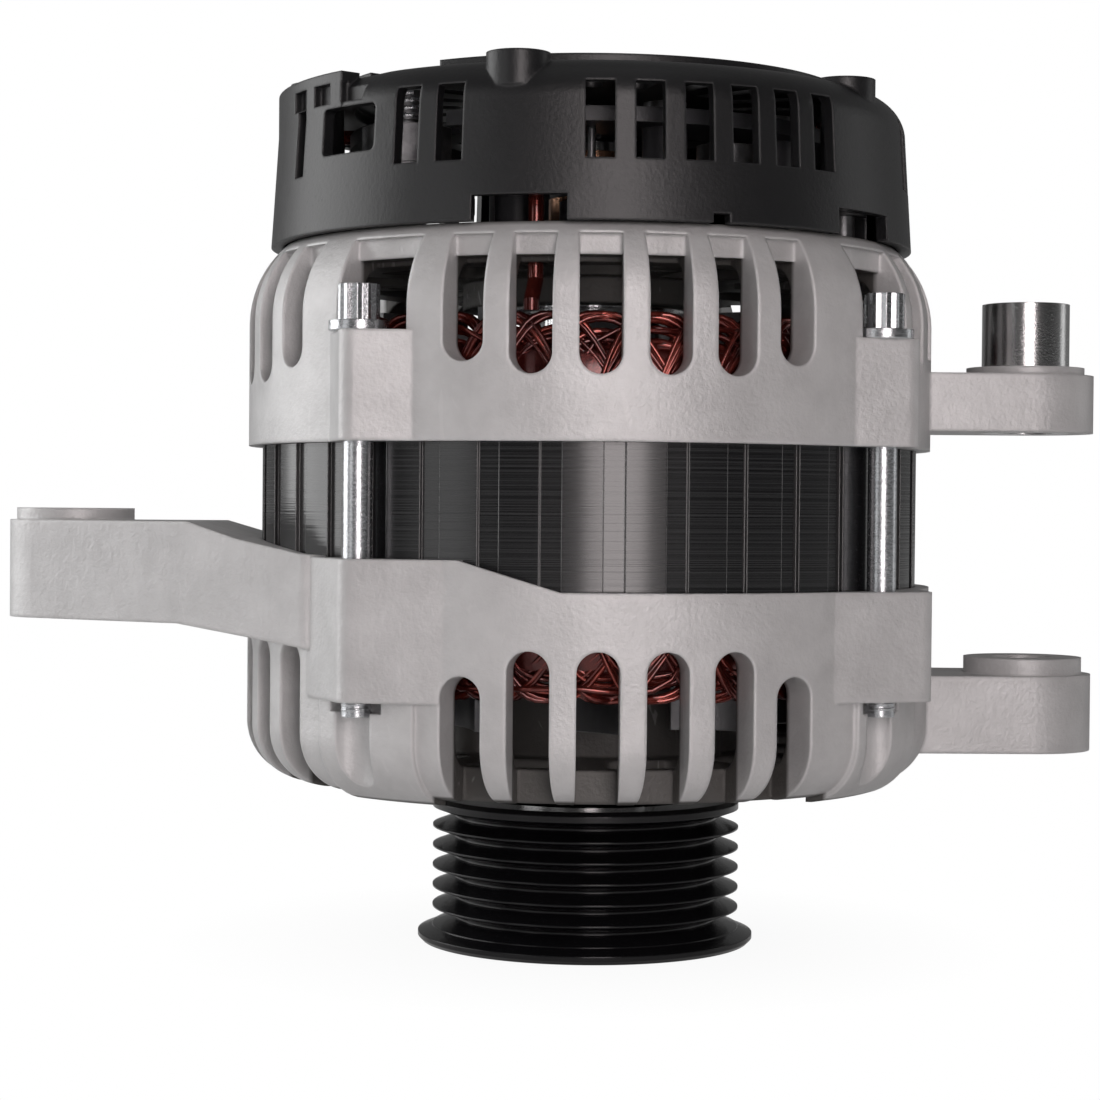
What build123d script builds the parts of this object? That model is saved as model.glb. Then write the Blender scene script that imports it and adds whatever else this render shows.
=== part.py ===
from build123d import *
import os
from math import cos, radians, sin, tan

# Belt-driven alternator with internal fans, standing on its pulley.
# The origin is on the shaft's axis at the pulley's end face, and +Z runs towards the rear cover.
# The front, where angles start, is -Y. Angles grow towards +X. All sizes are in millimetres.

# Clearances
fit_gap = 0.02
running_gap = 0.06
slide_gap = 0.15
hole_gap = 0.25

# Pulley for a six-rib belt
pulley_width = 25.5
pulley_flange_radius = 29.9
pulley_flange_width = 2.2
rib_crest_radius = 27.35
rib_count = 6
rib_pitch = 3.56
groove_depth = 3.9
groove_angle = 40
groove_floor_width = 0.4
pulley_rim_wall = 3.2
pulley_web = 4.0
pulley_hub_radius = 13.0
pulley_recess_depth = 12.5

# Pulley nut and lock washer
thread_radius = 8.0
nut_across_flats = 24.0
nut_height = 8.0
washer_thickness = 2.0
washer_radius = 12.0

# Shaft
shaft_tip = 1.0
drive_journal_radius = 8.5
rotor_seat_radius = 9.2
rear_journal_radius = 7.5
slip_ring_seat_radius = 5.2
socket_across_flats = 8.0
socket_depth = 9.0
collar_length = 7.5
collar_radius = 12.4

# Ball bearings
drive_bearing_outside = 47.0
drive_bearing_width = 14.0
drive_ball_radius = 4.3
drive_ball_count = 7
rear_bearing_outside = 35.0
rear_bearing_width = 11.0
rear_ball_radius = 3.0
rear_ball_count = 8
shield_thickness = 0.8
shield_inset = 0.4
cage_half_wall = 0.27
cage_overhang = 0.9
rear_sleeve_wall = 1.2

# Stator core and winding
core_radius = 58.05
core_bore_radius = 44.6
core_length = 31.0
core_bottom = 60.0
slot_count = 36
slot_width = 3.4
slot_inner_radius = 45.6
slot_outer_radius = 54.0
slot_mouth_width = 1.8
slot_mouth_depth = 1.2
core_groove_width = 3.5
core_groove_depth = 0.8
core_groove_phase = 4.1
wedge_thickness = 0.8
winding_inner_radius = 46.5
winding_outer_radius = 52.5
winding_standoff = 2.5
front_winding_reach = 14.5
rear_winding_reach = 17.7
winding_corner = 2.2

# Rotor
air_gap = 0.4
pole_pairs = 6
rotor_core_radius = 23.0
rotor_core_length = 25.0
claw_disc = 11.5
claw_web_radius = 31.0
claw_root_width = 19.0
claw_root_depth = 9.7
claw_tip_width = 7.5
claw_tip_depth = 3.6
claw_length = 33.5
bobbin_wall = 1.4
bobbin_flange_radius = 33.0
fan_sheet = 1.5
fan_radius = 43.0
fan_hub_radius = 14.0
front_blade_inner_radius = 33.5
rear_blade_inner_radius = 28.0
front_blade_height = 10.0
rear_blade_height = 9.0
blade_count = 11
blade_curve_radius = 30.0
blade_lean = 8.0
fan_scallop_radius = 6.5
fan_scallop_offset = 2.5

# Drive-end bracket
pulley_gap = 4.0
floor_thickness = 5.4
floor_radius = 50.0
bracket_radius = 60.5
bracket_corner = 10.0
bracket_wall_inner_radius = 54.0
register_depth = 3.7
raised_rim = 4.9
hub_wall = 4.5
lip_radius = 14.0
slots_per_quarter = 6
slot_pitch = 10.55
slot_opening = 6.9
slot_top = 54.5
short_slot_drop = 4.2
floor_window_inner = 33.5
floor_window_outer = 46.5
floor_spoke_width = 6.5
floor_spoke_count = 12

# Through bolts
bolt_radius = 2.4
bolt_circle_radius = 61.0
bolt_count = 4
first_bolt_angle = -37.5
boss_reach = 66.5
right_boss_reach = 68.3
boss_nose = 2.5
boss_root_radius = 51.0
boss_lead = 1.5
drive_boss_spread = 13.6
rear_boss_spread = 7.6
drive_boss_bottom = 45.7
drive_boss_corner = 1.8
bolt_tail = 2.6
bolt_flange_radius = 4.9
bolt_flange_thickness = 1.6
bolt_drive_radius = 3.4
bolt_drive_height = 5.9
tail_room_width = 11.0
tail_room_height = 2.0
tail_flute_radius = 3.8
column_proud = 0.9
column_sweep = 18.5

# Rear bracket
rear_bracket_height = 35.0
rear_shoulder_start = 21.5
rear_rim_radius = 54.2
rear_end_wall = 4.0
rear_slot_opening = 6.9
rear_notch_bottom = 117.2
rear_notch_radius = 54.8
rear_window_width = 14.4
rear_window_lead = 1.8
rear_slot_bottom = 98.0
rear_short_slot_rise = 2.0
rear_slot_top_margin = 2.0
rear_rim_width = 4.0
rear_boss_top = 105.2
rear_hub_wall = 4.0
rear_lip_thickness = 1.2
rear_spoke_count = 9
rear_spoke_start = -20
rear_spoke_width = 6.5
rear_inlet_margin = 6.5

# Mounting lugs
left_lug_reach = 92.0
left_lug_radius = 11.6
left_lug_bottom = 56.9
left_lug_top = 74.2
left_pad_height = 2.1
right_lug_reach = 77.8
right_lug_radius = 12.0
lower_lug_bottom = 34.8
lower_lug_top = 48.3
lower_pad_height = 2.9
upper_lug_bottom = 91.0
upper_lug_top = 101.2
upper_pad_height = 1.4
lug_pad_radius = 10.4
lug_bolt_radius = 5.0
right_ear_root = 26.0
bush_radius = 7.7
bush_top = 113.9
bush_slit = 0.8

# Rear cover
cover_wall = 2.2
cover_base_radius = 56.8
cover_top_radius = 55.6
cover_height = 26.3
cover_corner = 7.0
cover_disc_radius = 44.5
cover_disc_rise = 1.9
cover_slot_pitch = 8.27
cover_slot_width = 4.7
cover_slot_bottom = 132.3
cover_slot_top = 144.7
cover_boss_radius = 5.2
cover_boss_rise = 0.9
cover_boss_circle = 50.6
cover_boss_tip = 2.4
stud_window_angle = -46.2
stud_window_middle = 138.9
stud_window_width = 13.5
stud_window_height = 7.8
side_slot_angle = -61.6
side_slot_middle = 138.0
side_slot_width = 3.5
side_slot_height = 11.2
bottom_notch_width = 15.6
bottom_notch_height = 4.1
small_notch_angle = 21.5
small_notch_width = 2.9
small_notch_height = 1.5
shoulder_start = -86.0
shoulder_sweep = 38.0
shoulder_corner = 3.5
pocket_angles = (-62.5, -54.0, -45.5)
pocket_width = 5.2
pocket_height = 3.4
pocket_depth = 1.5
disc_vent_count = 20
disc_vent_length = 16.0
disc_vent_width = 3.6
cover_post_radius = 4.0
cover_post_circle = 49.3
cover_screw_radius = 1.9
cover_screw_head_radius = 3.6
cover_screw_head_height = 2.6

# Rectifier
sink_inner_radius = 26.5
sink_outer_radius = 43.8
sink_thickness = 3.0
positive_sink_lift = 7.5
sink_start = -126
sink_sweep = 232
diode_radius = 5.2
diode_height = 4.0
diode_lead_radius = 0.7
insulator_radius = 3.8
rectifier_head_height = 1.8
diode_circle = 35.5
terminal_plate_lift = 6.0
terminal_plate_thickness = 2.5
stud_angle = -46
stud_circle = 43.0
stud_radius = 4.0
stud_height = 13.0
stud_undercut_radius = 3.3
stud_undercut_width = 0.8
stud_nut_across_flats = 13.0
stud_nut_height = 6.5

# Slip rings, brushes and regulator
slip_ring_radius = 7.6
slip_ring_thickness = 1.2
slip_ring_width = 6.0
slip_ring_spacing = 8.0
slip_ring_start = 126.0
brush_width = 5.0
brush_height = 6.0
brush_length = 15.0
brush_travel = 4.0
spring_length = 9.0
spring_radius = 2.1
spring_wire = 0.5
spring_turns = 4
holder_wall = 1.6
holder_width = 15.0
regulator_width = 39.0
regulator_depth = 8.0
regulator_fin_count = 9
regulator_fin_width = 1.6
regulator_fin_height = 2.6
foot_depth = 6.5
foot_height = 3.0
foot_screw_head_radius = 3.2
foot_screw_head_height = 2.2
screw_bite = 3.0
connector_width = 22.0
connector_height = 14.0
connector_length = 20.0
connector_wall = 1.8
connector_middle = 133.0
connector_corner = 3.0
connector_floor = 3.0
pin_length = 14.0
pin_width = 2.2
pin_thickness = 0.8
pin_pitch = 4.0
pin_count = 4

# Places along the shaft that follow from the sizes above
collar_end = pulley_width + collar_length
drive_bearing_top = collar_end + drive_bearing_width
floor_bottom = pulley_width + pulley_gap
floor_top = floor_bottom + floor_thickness
core_top = core_bottom + core_length
rotor_middle = (core_bottom + core_top) / 2
front_pole_face = rotor_middle - rotor_core_length / 2 - claw_disc
rear_pole_face = rotor_middle + rotor_core_length / 2 + claw_disc
drive_bracket_top = core_bottom + register_depth
rear_bracket_bottom = core_top - register_depth + 0.2
rear_bracket_top = rear_bracket_bottom + rear_bracket_height
rear_wall_top = rear_bracket_top - rear_slot_top_margin
rear_wall_bottom = rear_wall_top - rear_end_wall
rear_bearing_bottom = rear_wall_bottom - 4.5
rear_bearing_top = rear_bearing_bottom + rear_bearing_width
rear_hub_top = rear_bearing_top + rear_lip_thickness
slip_ring_end = slip_ring_start + slip_ring_spacing + slip_ring_width
negative_sink_top = rear_wall_top + sink_thickness
positive_sink_bottom = negative_sink_top + positive_sink_lift
positive_sink_top = positive_sink_bottom + sink_thickness
terminal_plate_bottom = positive_sink_top + terminal_plate_lift
terminal_plate_top = terminal_plate_bottom + terminal_plate_thickness
cover_shoulder_top = rear_bracket_top + cover_height
cover_top = cover_shoulder_top + cover_disc_rise
rotor_radius = core_bore_radius - air_gap

brush_reach = slip_ring_radius + running_gap
channel_end = brush_reach + brush_length + spring_length
holder_back = channel_end + holder_wall
regulator_screw_spots = [(side * regulator_width / 2, holder_back - foot_depth / 2) for side in (-1, 1)]

# Angles of the repeated features
quarter_turn = 360 / bolt_count
bolt_angles = [first_bolt_angle + quarter_turn * k for k in range(bolt_count)]
slot_leads = (-0.5, -4.0, -0.5, 1.3)
slot_steps = [slot_pitch * (k - (slots_per_quarter - 1) / 2) for k in range(slots_per_quarter)]
slot_angles = [bolt + quarter_turn / 2 + lead + step for bolt, lead in zip(bolt_angles, slot_leads)
               for step in slot_steps]
end_slots = [a for k, a in enumerate(slot_angles) if k % slots_per_quarter in (0, slots_per_quarter - 1)]
post_angles = (60, -72, 145)
lone_boss_angle = -13.5
phase_lead_angles = (-11, -98, 79)
rectifier_screw_angles = [rear_spoke_start + k * 360 / rear_spoke_count for k in (-2, 0, 1, 2)]
diode_angles_negative = (-82, 0, 80)
diode_angles_positive = (-64, 40, 96)
lead_radius = 1.3


def spot(angle, radius):
    """Point in plan at an angle from the front, growing towards the right."""
    return (radius * sin(radians(angle)), -radius * cos(radians(angle)))


def facing(angle, radius=0.0, height=0.0):
    """Upright plane that looks outwards at an angle from the front."""
    outwards = (sin(radians(angle)), -cos(radians(angle)), 0)
    sideways = (cos(radians(angle)), sin(radians(angle)), 0)
    middle = (radius * outwards[0], radius * outwards[1], height)
    return Plane(origin=middle, x_dir=sideways, z_dir=outwards)


def upright(angle):
    """Upright plane through the shaft's axis, with x outwards at an angle from the front."""
    outwards = (sin(radians(angle)), -cos(radians(angle)), 0)
    return Plane(origin=(0, 0, 0), x_dir=outwards, z_dir=(outwards[1], -outwards[0], 0))


def turned(angle):
    """The same angle as build123d counts it, from +X."""
    return angle - 90


def ring_sector(inner, outer, start, sweep):
    """Flat sector of a ring, from one angle through a sweep."""
    with BuildSketch() as sector:
        with BuildLine():
            far = CenterArc((0, 0), outer, turned(start), sweep)
            near = CenterArc((0, 0), inner, turned(start), sweep)
            Line(far @ 0, near @ 0)
            Line(far @ 1, near @ 1)
        make_face()
    return sector.sketch


def arch(width, foot, crown):
    """Upright opening with a flat end at foot and a round end at crown."""
    radius = width / 2 if crown > foot else -width / 2
    with BuildSketch() as opening:
        with Locations((0, (foot + crown - radius) / 2)):
            Rectangle(width, abs(crown - radius - foot))
        with Locations((0, crown - radius)):
            Circle(width / 2)
    return opening.sketch


# Belt pulley: turned steel with a recess for the nut and V grooves for the ribs
rib_zone_middle = pulley_flange_width + 0.3 + rib_pitch * rib_count / 2
groove_top_width = groove_floor_width + 2 * groove_depth * tan(radians(groove_angle / 2))
rim_inner_radius = rib_crest_radius - groove_depth - pulley_rim_wall
web_top = pulley_recess_depth + pulley_web
edge_break = 0.7

with BuildPart() as pulley:
    with BuildSketch(Plane.XZ):
        with BuildLine():
            Polyline(
                (drive_journal_radius, pulley_recess_depth),
                (rim_inner_radius, pulley_recess_depth),
                (rim_inner_radius, 0),
                (pulley_flange_radius - edge_break, 0),
                (pulley_flange_radius, edge_break),
                (pulley_flange_radius, pulley_flange_width - edge_break),
                (rib_crest_radius, pulley_flange_width + 0.3),
                (rib_crest_radius, pulley_width - edge_break),
                (rib_crest_radius - edge_break, pulley_width),
                (rim_inner_radius, pulley_width),
                (rim_inner_radius, web_top),
                (pulley_hub_radius, web_top),
                (pulley_hub_radius, pulley_width),
                (drive_journal_radius, pulley_width),
                close=True,
            )
        make_face()
    revolve(axis=Axis.Z)
    with BuildSketch(Plane.XZ):
        with Locations((rib_crest_radius, rib_zone_middle)):
            with GridLocations(1, rib_pitch, 1, rib_count):
                Polygon(
                    (0, groove_top_width / 2),
                    (-groove_depth, groove_floor_width / 2),
                    (-groove_depth, -groove_floor_width / 2),
                    (0, -groove_top_width / 2),
                    align=None,
                )
    revolve(axis=Axis.Z, mode=Mode.SUBTRACT)
pulley.part.label = "pulley"
export_step(pulley.part, "parts/pulley.step")

# Lock washer and nut, sunk in the pulley's recess
with BuildPart() as lock_washer:
    with BuildSketch(Plane.XY.offset(pulley_recess_depth - washer_thickness)):
        Circle(washer_radius)
        Circle(thread_radius + hole_gap, mode=Mode.SUBTRACT)
    extrude(amount=washer_thickness)
lock_washer.part.label = "lock_washer"
export_step(lock_washer.part, "parts/lock_washer.step")

nut_bottom = pulley_recess_depth - washer_thickness - nut_height
with BuildPart() as pulley_nut:
    with BuildSketch(Plane.XY.offset(nut_bottom)):
        RegularPolygon(nut_across_flats / 2, 6, major_radius=False)
        Circle(thread_radius + fit_gap, mode=Mode.SUBTRACT)
    extrude(amount=nut_height)
pulley_nut.part.label = "pulley_nut"
export_step(pulley_nut.part, "parts/pulley_nut.step")

# Collar between the pulley and the drive bearing
with BuildPart() as spacer_collar:
    with BuildSketch(Plane.XY.offset(pulley_width)):
        Circle(collar_radius)
        Circle(drive_journal_radius + fit_gap, mode=Mode.SUBTRACT)
    extrude(amount=collar_length)
spacer_collar.part.label = "spacer_collar"
export_step(spacer_collar.part, "parts/spacer_collar.step")

# Shaft: thread, drive journal, rotor seat, rear journal and slip ring seat
shaft_end = slip_ring_end + 2.0
with BuildPart() as shaft:
    with BuildSketch(Plane.XZ):
        with BuildLine():
            Polyline(
                (0, shaft_tip),
                (thread_radius - edge_break, shaft_tip),
                (thread_radius, shaft_tip + edge_break),
                (thread_radius, pulley_recess_depth),
                (drive_journal_radius, pulley_recess_depth),
                (drive_journal_radius, drive_bearing_top),
                (rotor_seat_radius, drive_bearing_top),
                (rotor_seat_radius, rear_bearing_bottom),
                (rear_journal_radius, rear_bearing_bottom),
                (rear_journal_radius, rear_hub_top),
                (slip_ring_seat_radius, rear_hub_top),
                (slip_ring_seat_radius, shaft_end),
                (0, shaft_end),
                close=True,
            )
        make_face()
    revolve(axis=Axis.Z)
    with BuildSketch(Plane.XY.offset(shaft_tip)):
        RegularPolygon(socket_across_flats / 2, 6, major_radius=False)
    extrude(amount=socket_depth, mode=Mode.SUBTRACT)
shaft.part.label = "shaft"
export_step(shaft.part, "parts/shaft.step")


# Ball bearings: grooved races, balls, a cage with a pocket for each ball, and two shields
def bearing_race(inner, outer, bottom, width, pitch_radius, ball_radius):
    """Ring with a groove that the balls run in."""
    with BuildPart() as race:
        with BuildSketch(Plane.XZ):
            with Locations(((inner + outer) / 2, bottom + width / 2)):
                Rectangle(outer - inner, width)
            with Locations((pitch_radius, bottom + width / 2)):
                Circle(ball_radius + running_gap, mode=Mode.SUBTRACT)
        revolve(axis=Axis.Z)
    return race.part


def bearing_balls(bottom, width, pitch_radius, ball_radius, count):
    """The set of balls on their pitch circle."""
    with BuildPart() as balls:
        with Locations((0, 0, bottom + width / 2)):
            with PolarLocations(pitch_radius, count):
                Sphere(ball_radius)
    return balls.part


def bearing_cage(bottom, width, pitch_radius, ball_radius, count):
    """Ring between the races with round pockets."""
    with BuildPart() as cage:
        with BuildSketch(Plane.XY.offset(bottom + width / 2)):
            Circle(pitch_radius + cage_half_wall * ball_radius)
            Circle(pitch_radius - cage_half_wall * ball_radius, mode=Mode.SUBTRACT)
        extrude(amount=ball_radius + cage_overhang, both=True)
        pockets = [facing(90 + 360 * k / count, 0, bottom + width / 2) for k in range(count)]
        with BuildSketch(*pockets):
            Circle(ball_radius + slide_gap)
        extrude(amount=2 * pitch_radius, mode=Mode.SUBTRACT)
    return cage.part


def bearing_shields(inner, outer, bottom, width):
    """A thin ring at each end, held by the outer race."""
    low = bottom + shield_inset
    high = bottom + width - shield_inset - shield_thickness
    with BuildPart() as shields:
        with BuildSketch(Plane.XY.offset(low), Plane.XY.offset(high)):
            Circle(outer)
            Circle(inner, mode=Mode.SUBTRACT)
        extrude(amount=shield_thickness)
    return shields.part


drive_pitch_radius = (drive_journal_radius + drive_bearing_outside / 2) / 2
drive_race_gap = 0.6 * drive_ball_radius
drive_outer_bore = drive_pitch_radius + drive_race_gap
drive_inner_outside = drive_pitch_radius - drive_race_gap

with BuildPart() as drive_bearing_outer_race:
    add(bearing_race(drive_outer_bore, drive_bearing_outside / 2, collar_end, drive_bearing_width,
                     drive_pitch_radius, drive_ball_radius))
drive_bearing_outer_race.part.label = "drive_bearing_outer_race"
export_step(drive_bearing_outer_race.part, "parts/drive_bearing_outer_race.step")

with BuildPart() as drive_bearing_inner_race:
    add(bearing_race(drive_journal_radius + fit_gap, drive_inner_outside, collar_end,
                     drive_bearing_width, drive_pitch_radius, drive_ball_radius))
drive_bearing_inner_race.part.label = "drive_bearing_inner_race"
export_step(drive_bearing_inner_race.part, "parts/drive_bearing_inner_race.step")

with BuildPart() as drive_bearing_balls:
    add(bearing_balls(collar_end, drive_bearing_width, drive_pitch_radius, drive_ball_radius,
                      drive_ball_count))
drive_bearing_balls.part.label = "drive_bearing_balls"
export_step(drive_bearing_balls.part, "parts/drive_bearing_balls.step")

with BuildPart() as drive_bearing_cage:
    add(bearing_cage(collar_end, drive_bearing_width, drive_pitch_radius, drive_ball_radius,
                     drive_ball_count))
drive_bearing_cage.part.label = "drive_bearing_cage"
export_step(drive_bearing_cage.part, "parts/drive_bearing_cage.step")

with BuildPart() as drive_bearing_shields:
    add(bearing_shields(drive_inner_outside + slide_gap, drive_outer_bore, collar_end,
                        drive_bearing_width))
drive_bearing_shields.part.label = "drive_bearing_shields"
export_step(drive_bearing_shields.part, "parts/drive_bearing_shields.step")

rear_pitch_radius = (rear_journal_radius + rear_bearing_outside / 2) / 2
rear_race_gap = 0.6 * rear_ball_radius
rear_outer_bore = rear_pitch_radius + rear_race_gap
rear_inner_outside = rear_pitch_radius - rear_race_gap

with BuildPart() as rear_bearing_outer_race:
    add(bearing_race(rear_outer_bore, rear_bearing_outside / 2, rear_bearing_bottom,
                     rear_bearing_width, rear_pitch_radius, rear_ball_radius))
rear_bearing_outer_race.part.label = "rear_bearing_outer_race"
export_step(rear_bearing_outer_race.part, "parts/rear_bearing_outer_race.step")

with BuildPart() as rear_bearing_inner_race:
    add(bearing_race(rear_journal_radius + fit_gap, rear_inner_outside, rear_bearing_bottom,
                     rear_bearing_width, rear_pitch_radius, rear_ball_radius))
rear_bearing_inner_race.part.label = "rear_bearing_inner_race"
export_step(rear_bearing_inner_race.part, "parts/rear_bearing_inner_race.step")

with BuildPart() as rear_bearing_balls:
    add(bearing_balls(rear_bearing_bottom, rear_bearing_width, rear_pitch_radius,
                      rear_ball_radius, rear_ball_count))
rear_bearing_balls.part.label = "rear_bearing_balls"
export_step(rear_bearing_balls.part, "parts/rear_bearing_balls.step")

with BuildPart() as rear_bearing_cage:
    add(bearing_cage(rear_bearing_bottom, rear_bearing_width, rear_pitch_radius,
                     rear_ball_radius, rear_ball_count))
rear_bearing_cage.part.label = "rear_bearing_cage"
export_step(rear_bearing_cage.part, "parts/rear_bearing_cage.step")

with BuildPart() as rear_bearing_shields:
    add(bearing_shields(rear_inner_outside + slide_gap, rear_outer_bore, rear_bearing_bottom,
                        rear_bearing_width))
rear_bearing_shields.part.label = "rear_bearing_shields"
export_step(rear_bearing_shields.part, "parts/rear_bearing_shields.step")

# Plastic sleeve that holds the rear bearing in its bracket
rear_sleeve_radius = rear_bearing_outside / 2 + rear_sleeve_wall
with BuildPart() as rear_bearing_sleeve:
    with BuildSketch(Plane.XY.offset(rear_bearing_bottom)):
        Circle(rear_sleeve_radius)
        Circle(rear_bearing_outside / 2, mode=Mode.SUBTRACT)
    extrude(amount=rear_bearing_width)
rear_bearing_sleeve.part.label = "rear_bearing_sleeve"
export_step(rear_bearing_sleeve.part, "parts/rear_bearing_sleeve.step")

# Plate that holds the drive bearing in its pocket, with four countersunk screws
hub_radius = drive_bearing_outside / 2 + hub_wall
plate_thickness = 2.0
plate_screw_radius = 1.9
plate_screw_head_radius = 3.6
screw_cone_height = 1.67
plate_screw_circle = drive_bearing_outside / 2 + 3.0
plate_lobe_radius = 4.4
plate_screw_depth = 9.0
plate_screw_count = 4
plate_bore = drive_pitch_radius + 1.0

with BuildPart() as bearing_retainer:
    with BuildSketch(Plane.XY.offset(drive_bearing_top)):
        Circle(hub_radius - 0.5)
        with PolarLocations(plate_screw_circle, plate_screw_count, start_angle=45):
            Circle(plate_lobe_radius)
        Circle(plate_bore, mode=Mode.SUBTRACT)
    extrude(amount=plate_thickness)
    with Locations((0, 0, drive_bearing_top + plate_thickness)):
        with PolarLocations(plate_screw_circle, plate_screw_count, start_angle=45):
            CounterSinkHole(plate_screw_radius + fit_gap, plate_screw_head_radius)
bearing_retainer.part.label = "bearing_retainer"
export_step(bearing_retainer.part, "parts/bearing_retainer.step")

with BuildPart() as retainer_screws:
    with BuildSketch(Plane.XY.offset(drive_bearing_top + plate_thickness - plate_screw_depth)):
        with PolarLocations(plate_screw_circle, plate_screw_count, start_angle=45):
            Circle(plate_screw_radius)
    extrude(amount=plate_screw_depth)
    with Locations((0, 0, drive_bearing_top + plate_thickness - screw_cone_height / 2)):
        with PolarLocations(plate_screw_circle, plate_screw_count, start_angle=45):
            Cone(plate_screw_radius, plate_screw_head_radius - 0.1, screw_cone_height)
retainer_screws.part.label = "retainer_screws"
export_step(retainer_screws.part, "parts/retainer_screws.step")

# Stator core: a stack of laminations with winding slots inside and shallow grooves outside
with BuildPart() as stator_core:
    with BuildSketch(Plane.XY.offset(core_bottom)):
        Circle(core_radius)
        Circle(core_bore_radius, mode=Mode.SUBTRACT)
        with PolarLocations((slot_inner_radius + slot_outer_radius) / 2, slot_count):
            Rectangle(slot_outer_radius - slot_inner_radius, slot_width, mode=Mode.SUBTRACT)
        with PolarLocations(core_bore_radius, slot_count):
            Rectangle(2 * slot_mouth_depth, slot_mouth_width, mode=Mode.SUBTRACT)
        with PolarLocations(core_radius, slot_count, start_angle=turned(core_groove_phase)):
            Rectangle(2 * core_groove_depth, core_groove_width, mode=Mode.SUBTRACT)
    extrude(amount=core_length)
stator_core.part.label = "stator_core"
export_step(stator_core.part, "parts/stator_core.step")

# Wedges that close the slots at the bore
with BuildPart() as slot_wedges:
    with BuildSketch(Plane.XY.offset(core_bottom)):
        with PolarLocations(slot_inner_radius + wedge_thickness / 2 + 0.1, slot_count):
            Rectangle(wedge_thickness, slot_width - 2 * fit_gap)
    extrude(amount=core_length)
slot_wedges.part.label = "slot_wedges"
export_step(slot_wedges.part, "parts/slot_wedges.step")

# Stator winding: conductors through the slots and a bundled ring of end turns at each side
conductor_inner = slot_inner_radius + wedge_thickness + 0.15
conductor_outer = slot_outer_radius - 0.3
front_winding_end = core_bottom - front_winding_reach
rear_winding_end = core_top + rear_winding_reach
winding_middle_radius = (winding_inner_radius + winding_outer_radius) / 2
winding_depth = winding_outer_radius - winding_inner_radius
with BuildPart() as stator_winding:
    with BuildSketch(Plane.XY.offset(core_bottom - winding_standoff)):
        with PolarLocations((conductor_inner + conductor_outer) / 2, slot_count):
            Rectangle(conductor_outer - conductor_inner, slot_width - 0.5)
    extrude(amount=core_length + 2 * winding_standoff)
    with BuildSketch(Plane.XZ) as rings:
        with Locations((winding_middle_radius, front_winding_end)):
            Rectangle(winding_depth, front_winding_reach - winding_standoff,
                      align=(Align.CENTER, Align.MIN))
        with Locations((winding_middle_radius, rear_winding_end)):
            Rectangle(winding_depth, rear_winding_reach - winding_standoff,
                      align=(Align.CENTER, Align.MAX))
        fillet(rings.vertices().group_by(Axis.Y)[0], winding_corner)
        fillet(rings.vertices().group_by(Axis.Y)[-1], winding_corner)
    revolve(axis=Axis.Z)
stator_winding.part.label = "stator_winding"
export_step(stator_winding.part, "parts/stator_winding.step")


# Rotor: core, field coil on its bobbin, and two claw poles whose fingers interleave
def claw_pole(first_angle):
    """Claw pole with its flat face down and its fingers up, one finger at first_angle."""
    finger_top = front_pole_face + claw_disc + claw_length
    lobe_length = rotor_radius - claw_web_radius / 2
    with BuildPart() as finger:
        with BuildSketch(Plane.XY.offset(front_pole_face + claw_disc)):
            with Locations((rotor_radius - claw_root_depth / 2, 0)):
                Rectangle(claw_root_depth, claw_root_width)
        with BuildSketch(Plane.XY.offset(finger_top)):
            with Locations((rotor_radius - claw_tip_depth / 2, 0)):
                Rectangle(claw_tip_depth, claw_tip_width)
        loft()
    with BuildPart() as pole:
        with BuildSketch(Plane.XY.offset(front_pole_face)):
            Circle(claw_web_radius)
            with PolarLocations(rotor_radius - lobe_length / 2, pole_pairs, start_angle=first_angle):
                Rectangle(lobe_length, claw_root_width)
        extrude(amount=claw_disc)
        with PolarLocations(0, pole_pairs, start_angle=first_angle):
            add(finger.part)
        with BuildSketch(Plane.XY.offset(front_pole_face)):
            Circle(rotor_radius)
        extrude(amount=claw_disc + claw_length, mode=Mode.INTERSECT)
        with BuildSketch(Plane.XY.offset(front_pole_face)):
            Circle(rotor_seat_radius + fit_gap)
        extrude(amount=claw_disc, mode=Mode.SUBTRACT)
    return pole.part


with BuildPart() as front_claw_pole:
    add(claw_pole(0))
front_claw_pole.part.label = "front_claw_pole"
export_step(front_claw_pole.part, "parts/front_claw_pole.step")

with BuildPart() as rear_claw_pole:
    mirror(claw_pole(180 / pole_pairs), about=Plane.XY.offset(rotor_middle))
rear_claw_pole.part.label = "rear_claw_pole"
export_step(rear_claw_pole.part, "parts/rear_claw_pole.step")

with BuildPart() as rotor_core:
    with BuildSketch(Plane.XY.offset(rotor_middle)):
        Circle(rotor_core_radius)
        Circle(rotor_seat_radius + fit_gap, mode=Mode.SUBTRACT)
    extrude(amount=rotor_core_length / 2, both=True)
rotor_core.part.label = "rotor_core"
export_step(rotor_core.part, "parts/rotor_core.step")

bobbin_inner_radius = rotor_core_radius + fit_gap
coil_inner_radius = bobbin_inner_radius + bobbin_wall
coil_outer_radius = bobbin_flange_radius - 0.8
bobbin_length = rotor_core_length - 0.4
coil_length = bobbin_length - 2 * bobbin_wall
with BuildPart() as field_coil_bobbin:
    with BuildSketch(Plane.XZ):
        with Locations((bobbin_inner_radius, rotor_middle)):
            Rectangle(bobbin_flange_radius - bobbin_inner_radius, bobbin_length,
                      align=(Align.MIN, Align.CENTER))
        with Locations((coil_inner_radius, rotor_middle)):
            Rectangle(bobbin_flange_radius, coil_length, align=(Align.MIN, Align.CENTER),
                      mode=Mode.SUBTRACT)
    revolve(axis=Axis.Z)
field_coil_bobbin.part.label = "field_coil_bobbin"
export_step(field_coil_bobbin.part, "parts/field_coil_bobbin.step")

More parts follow.
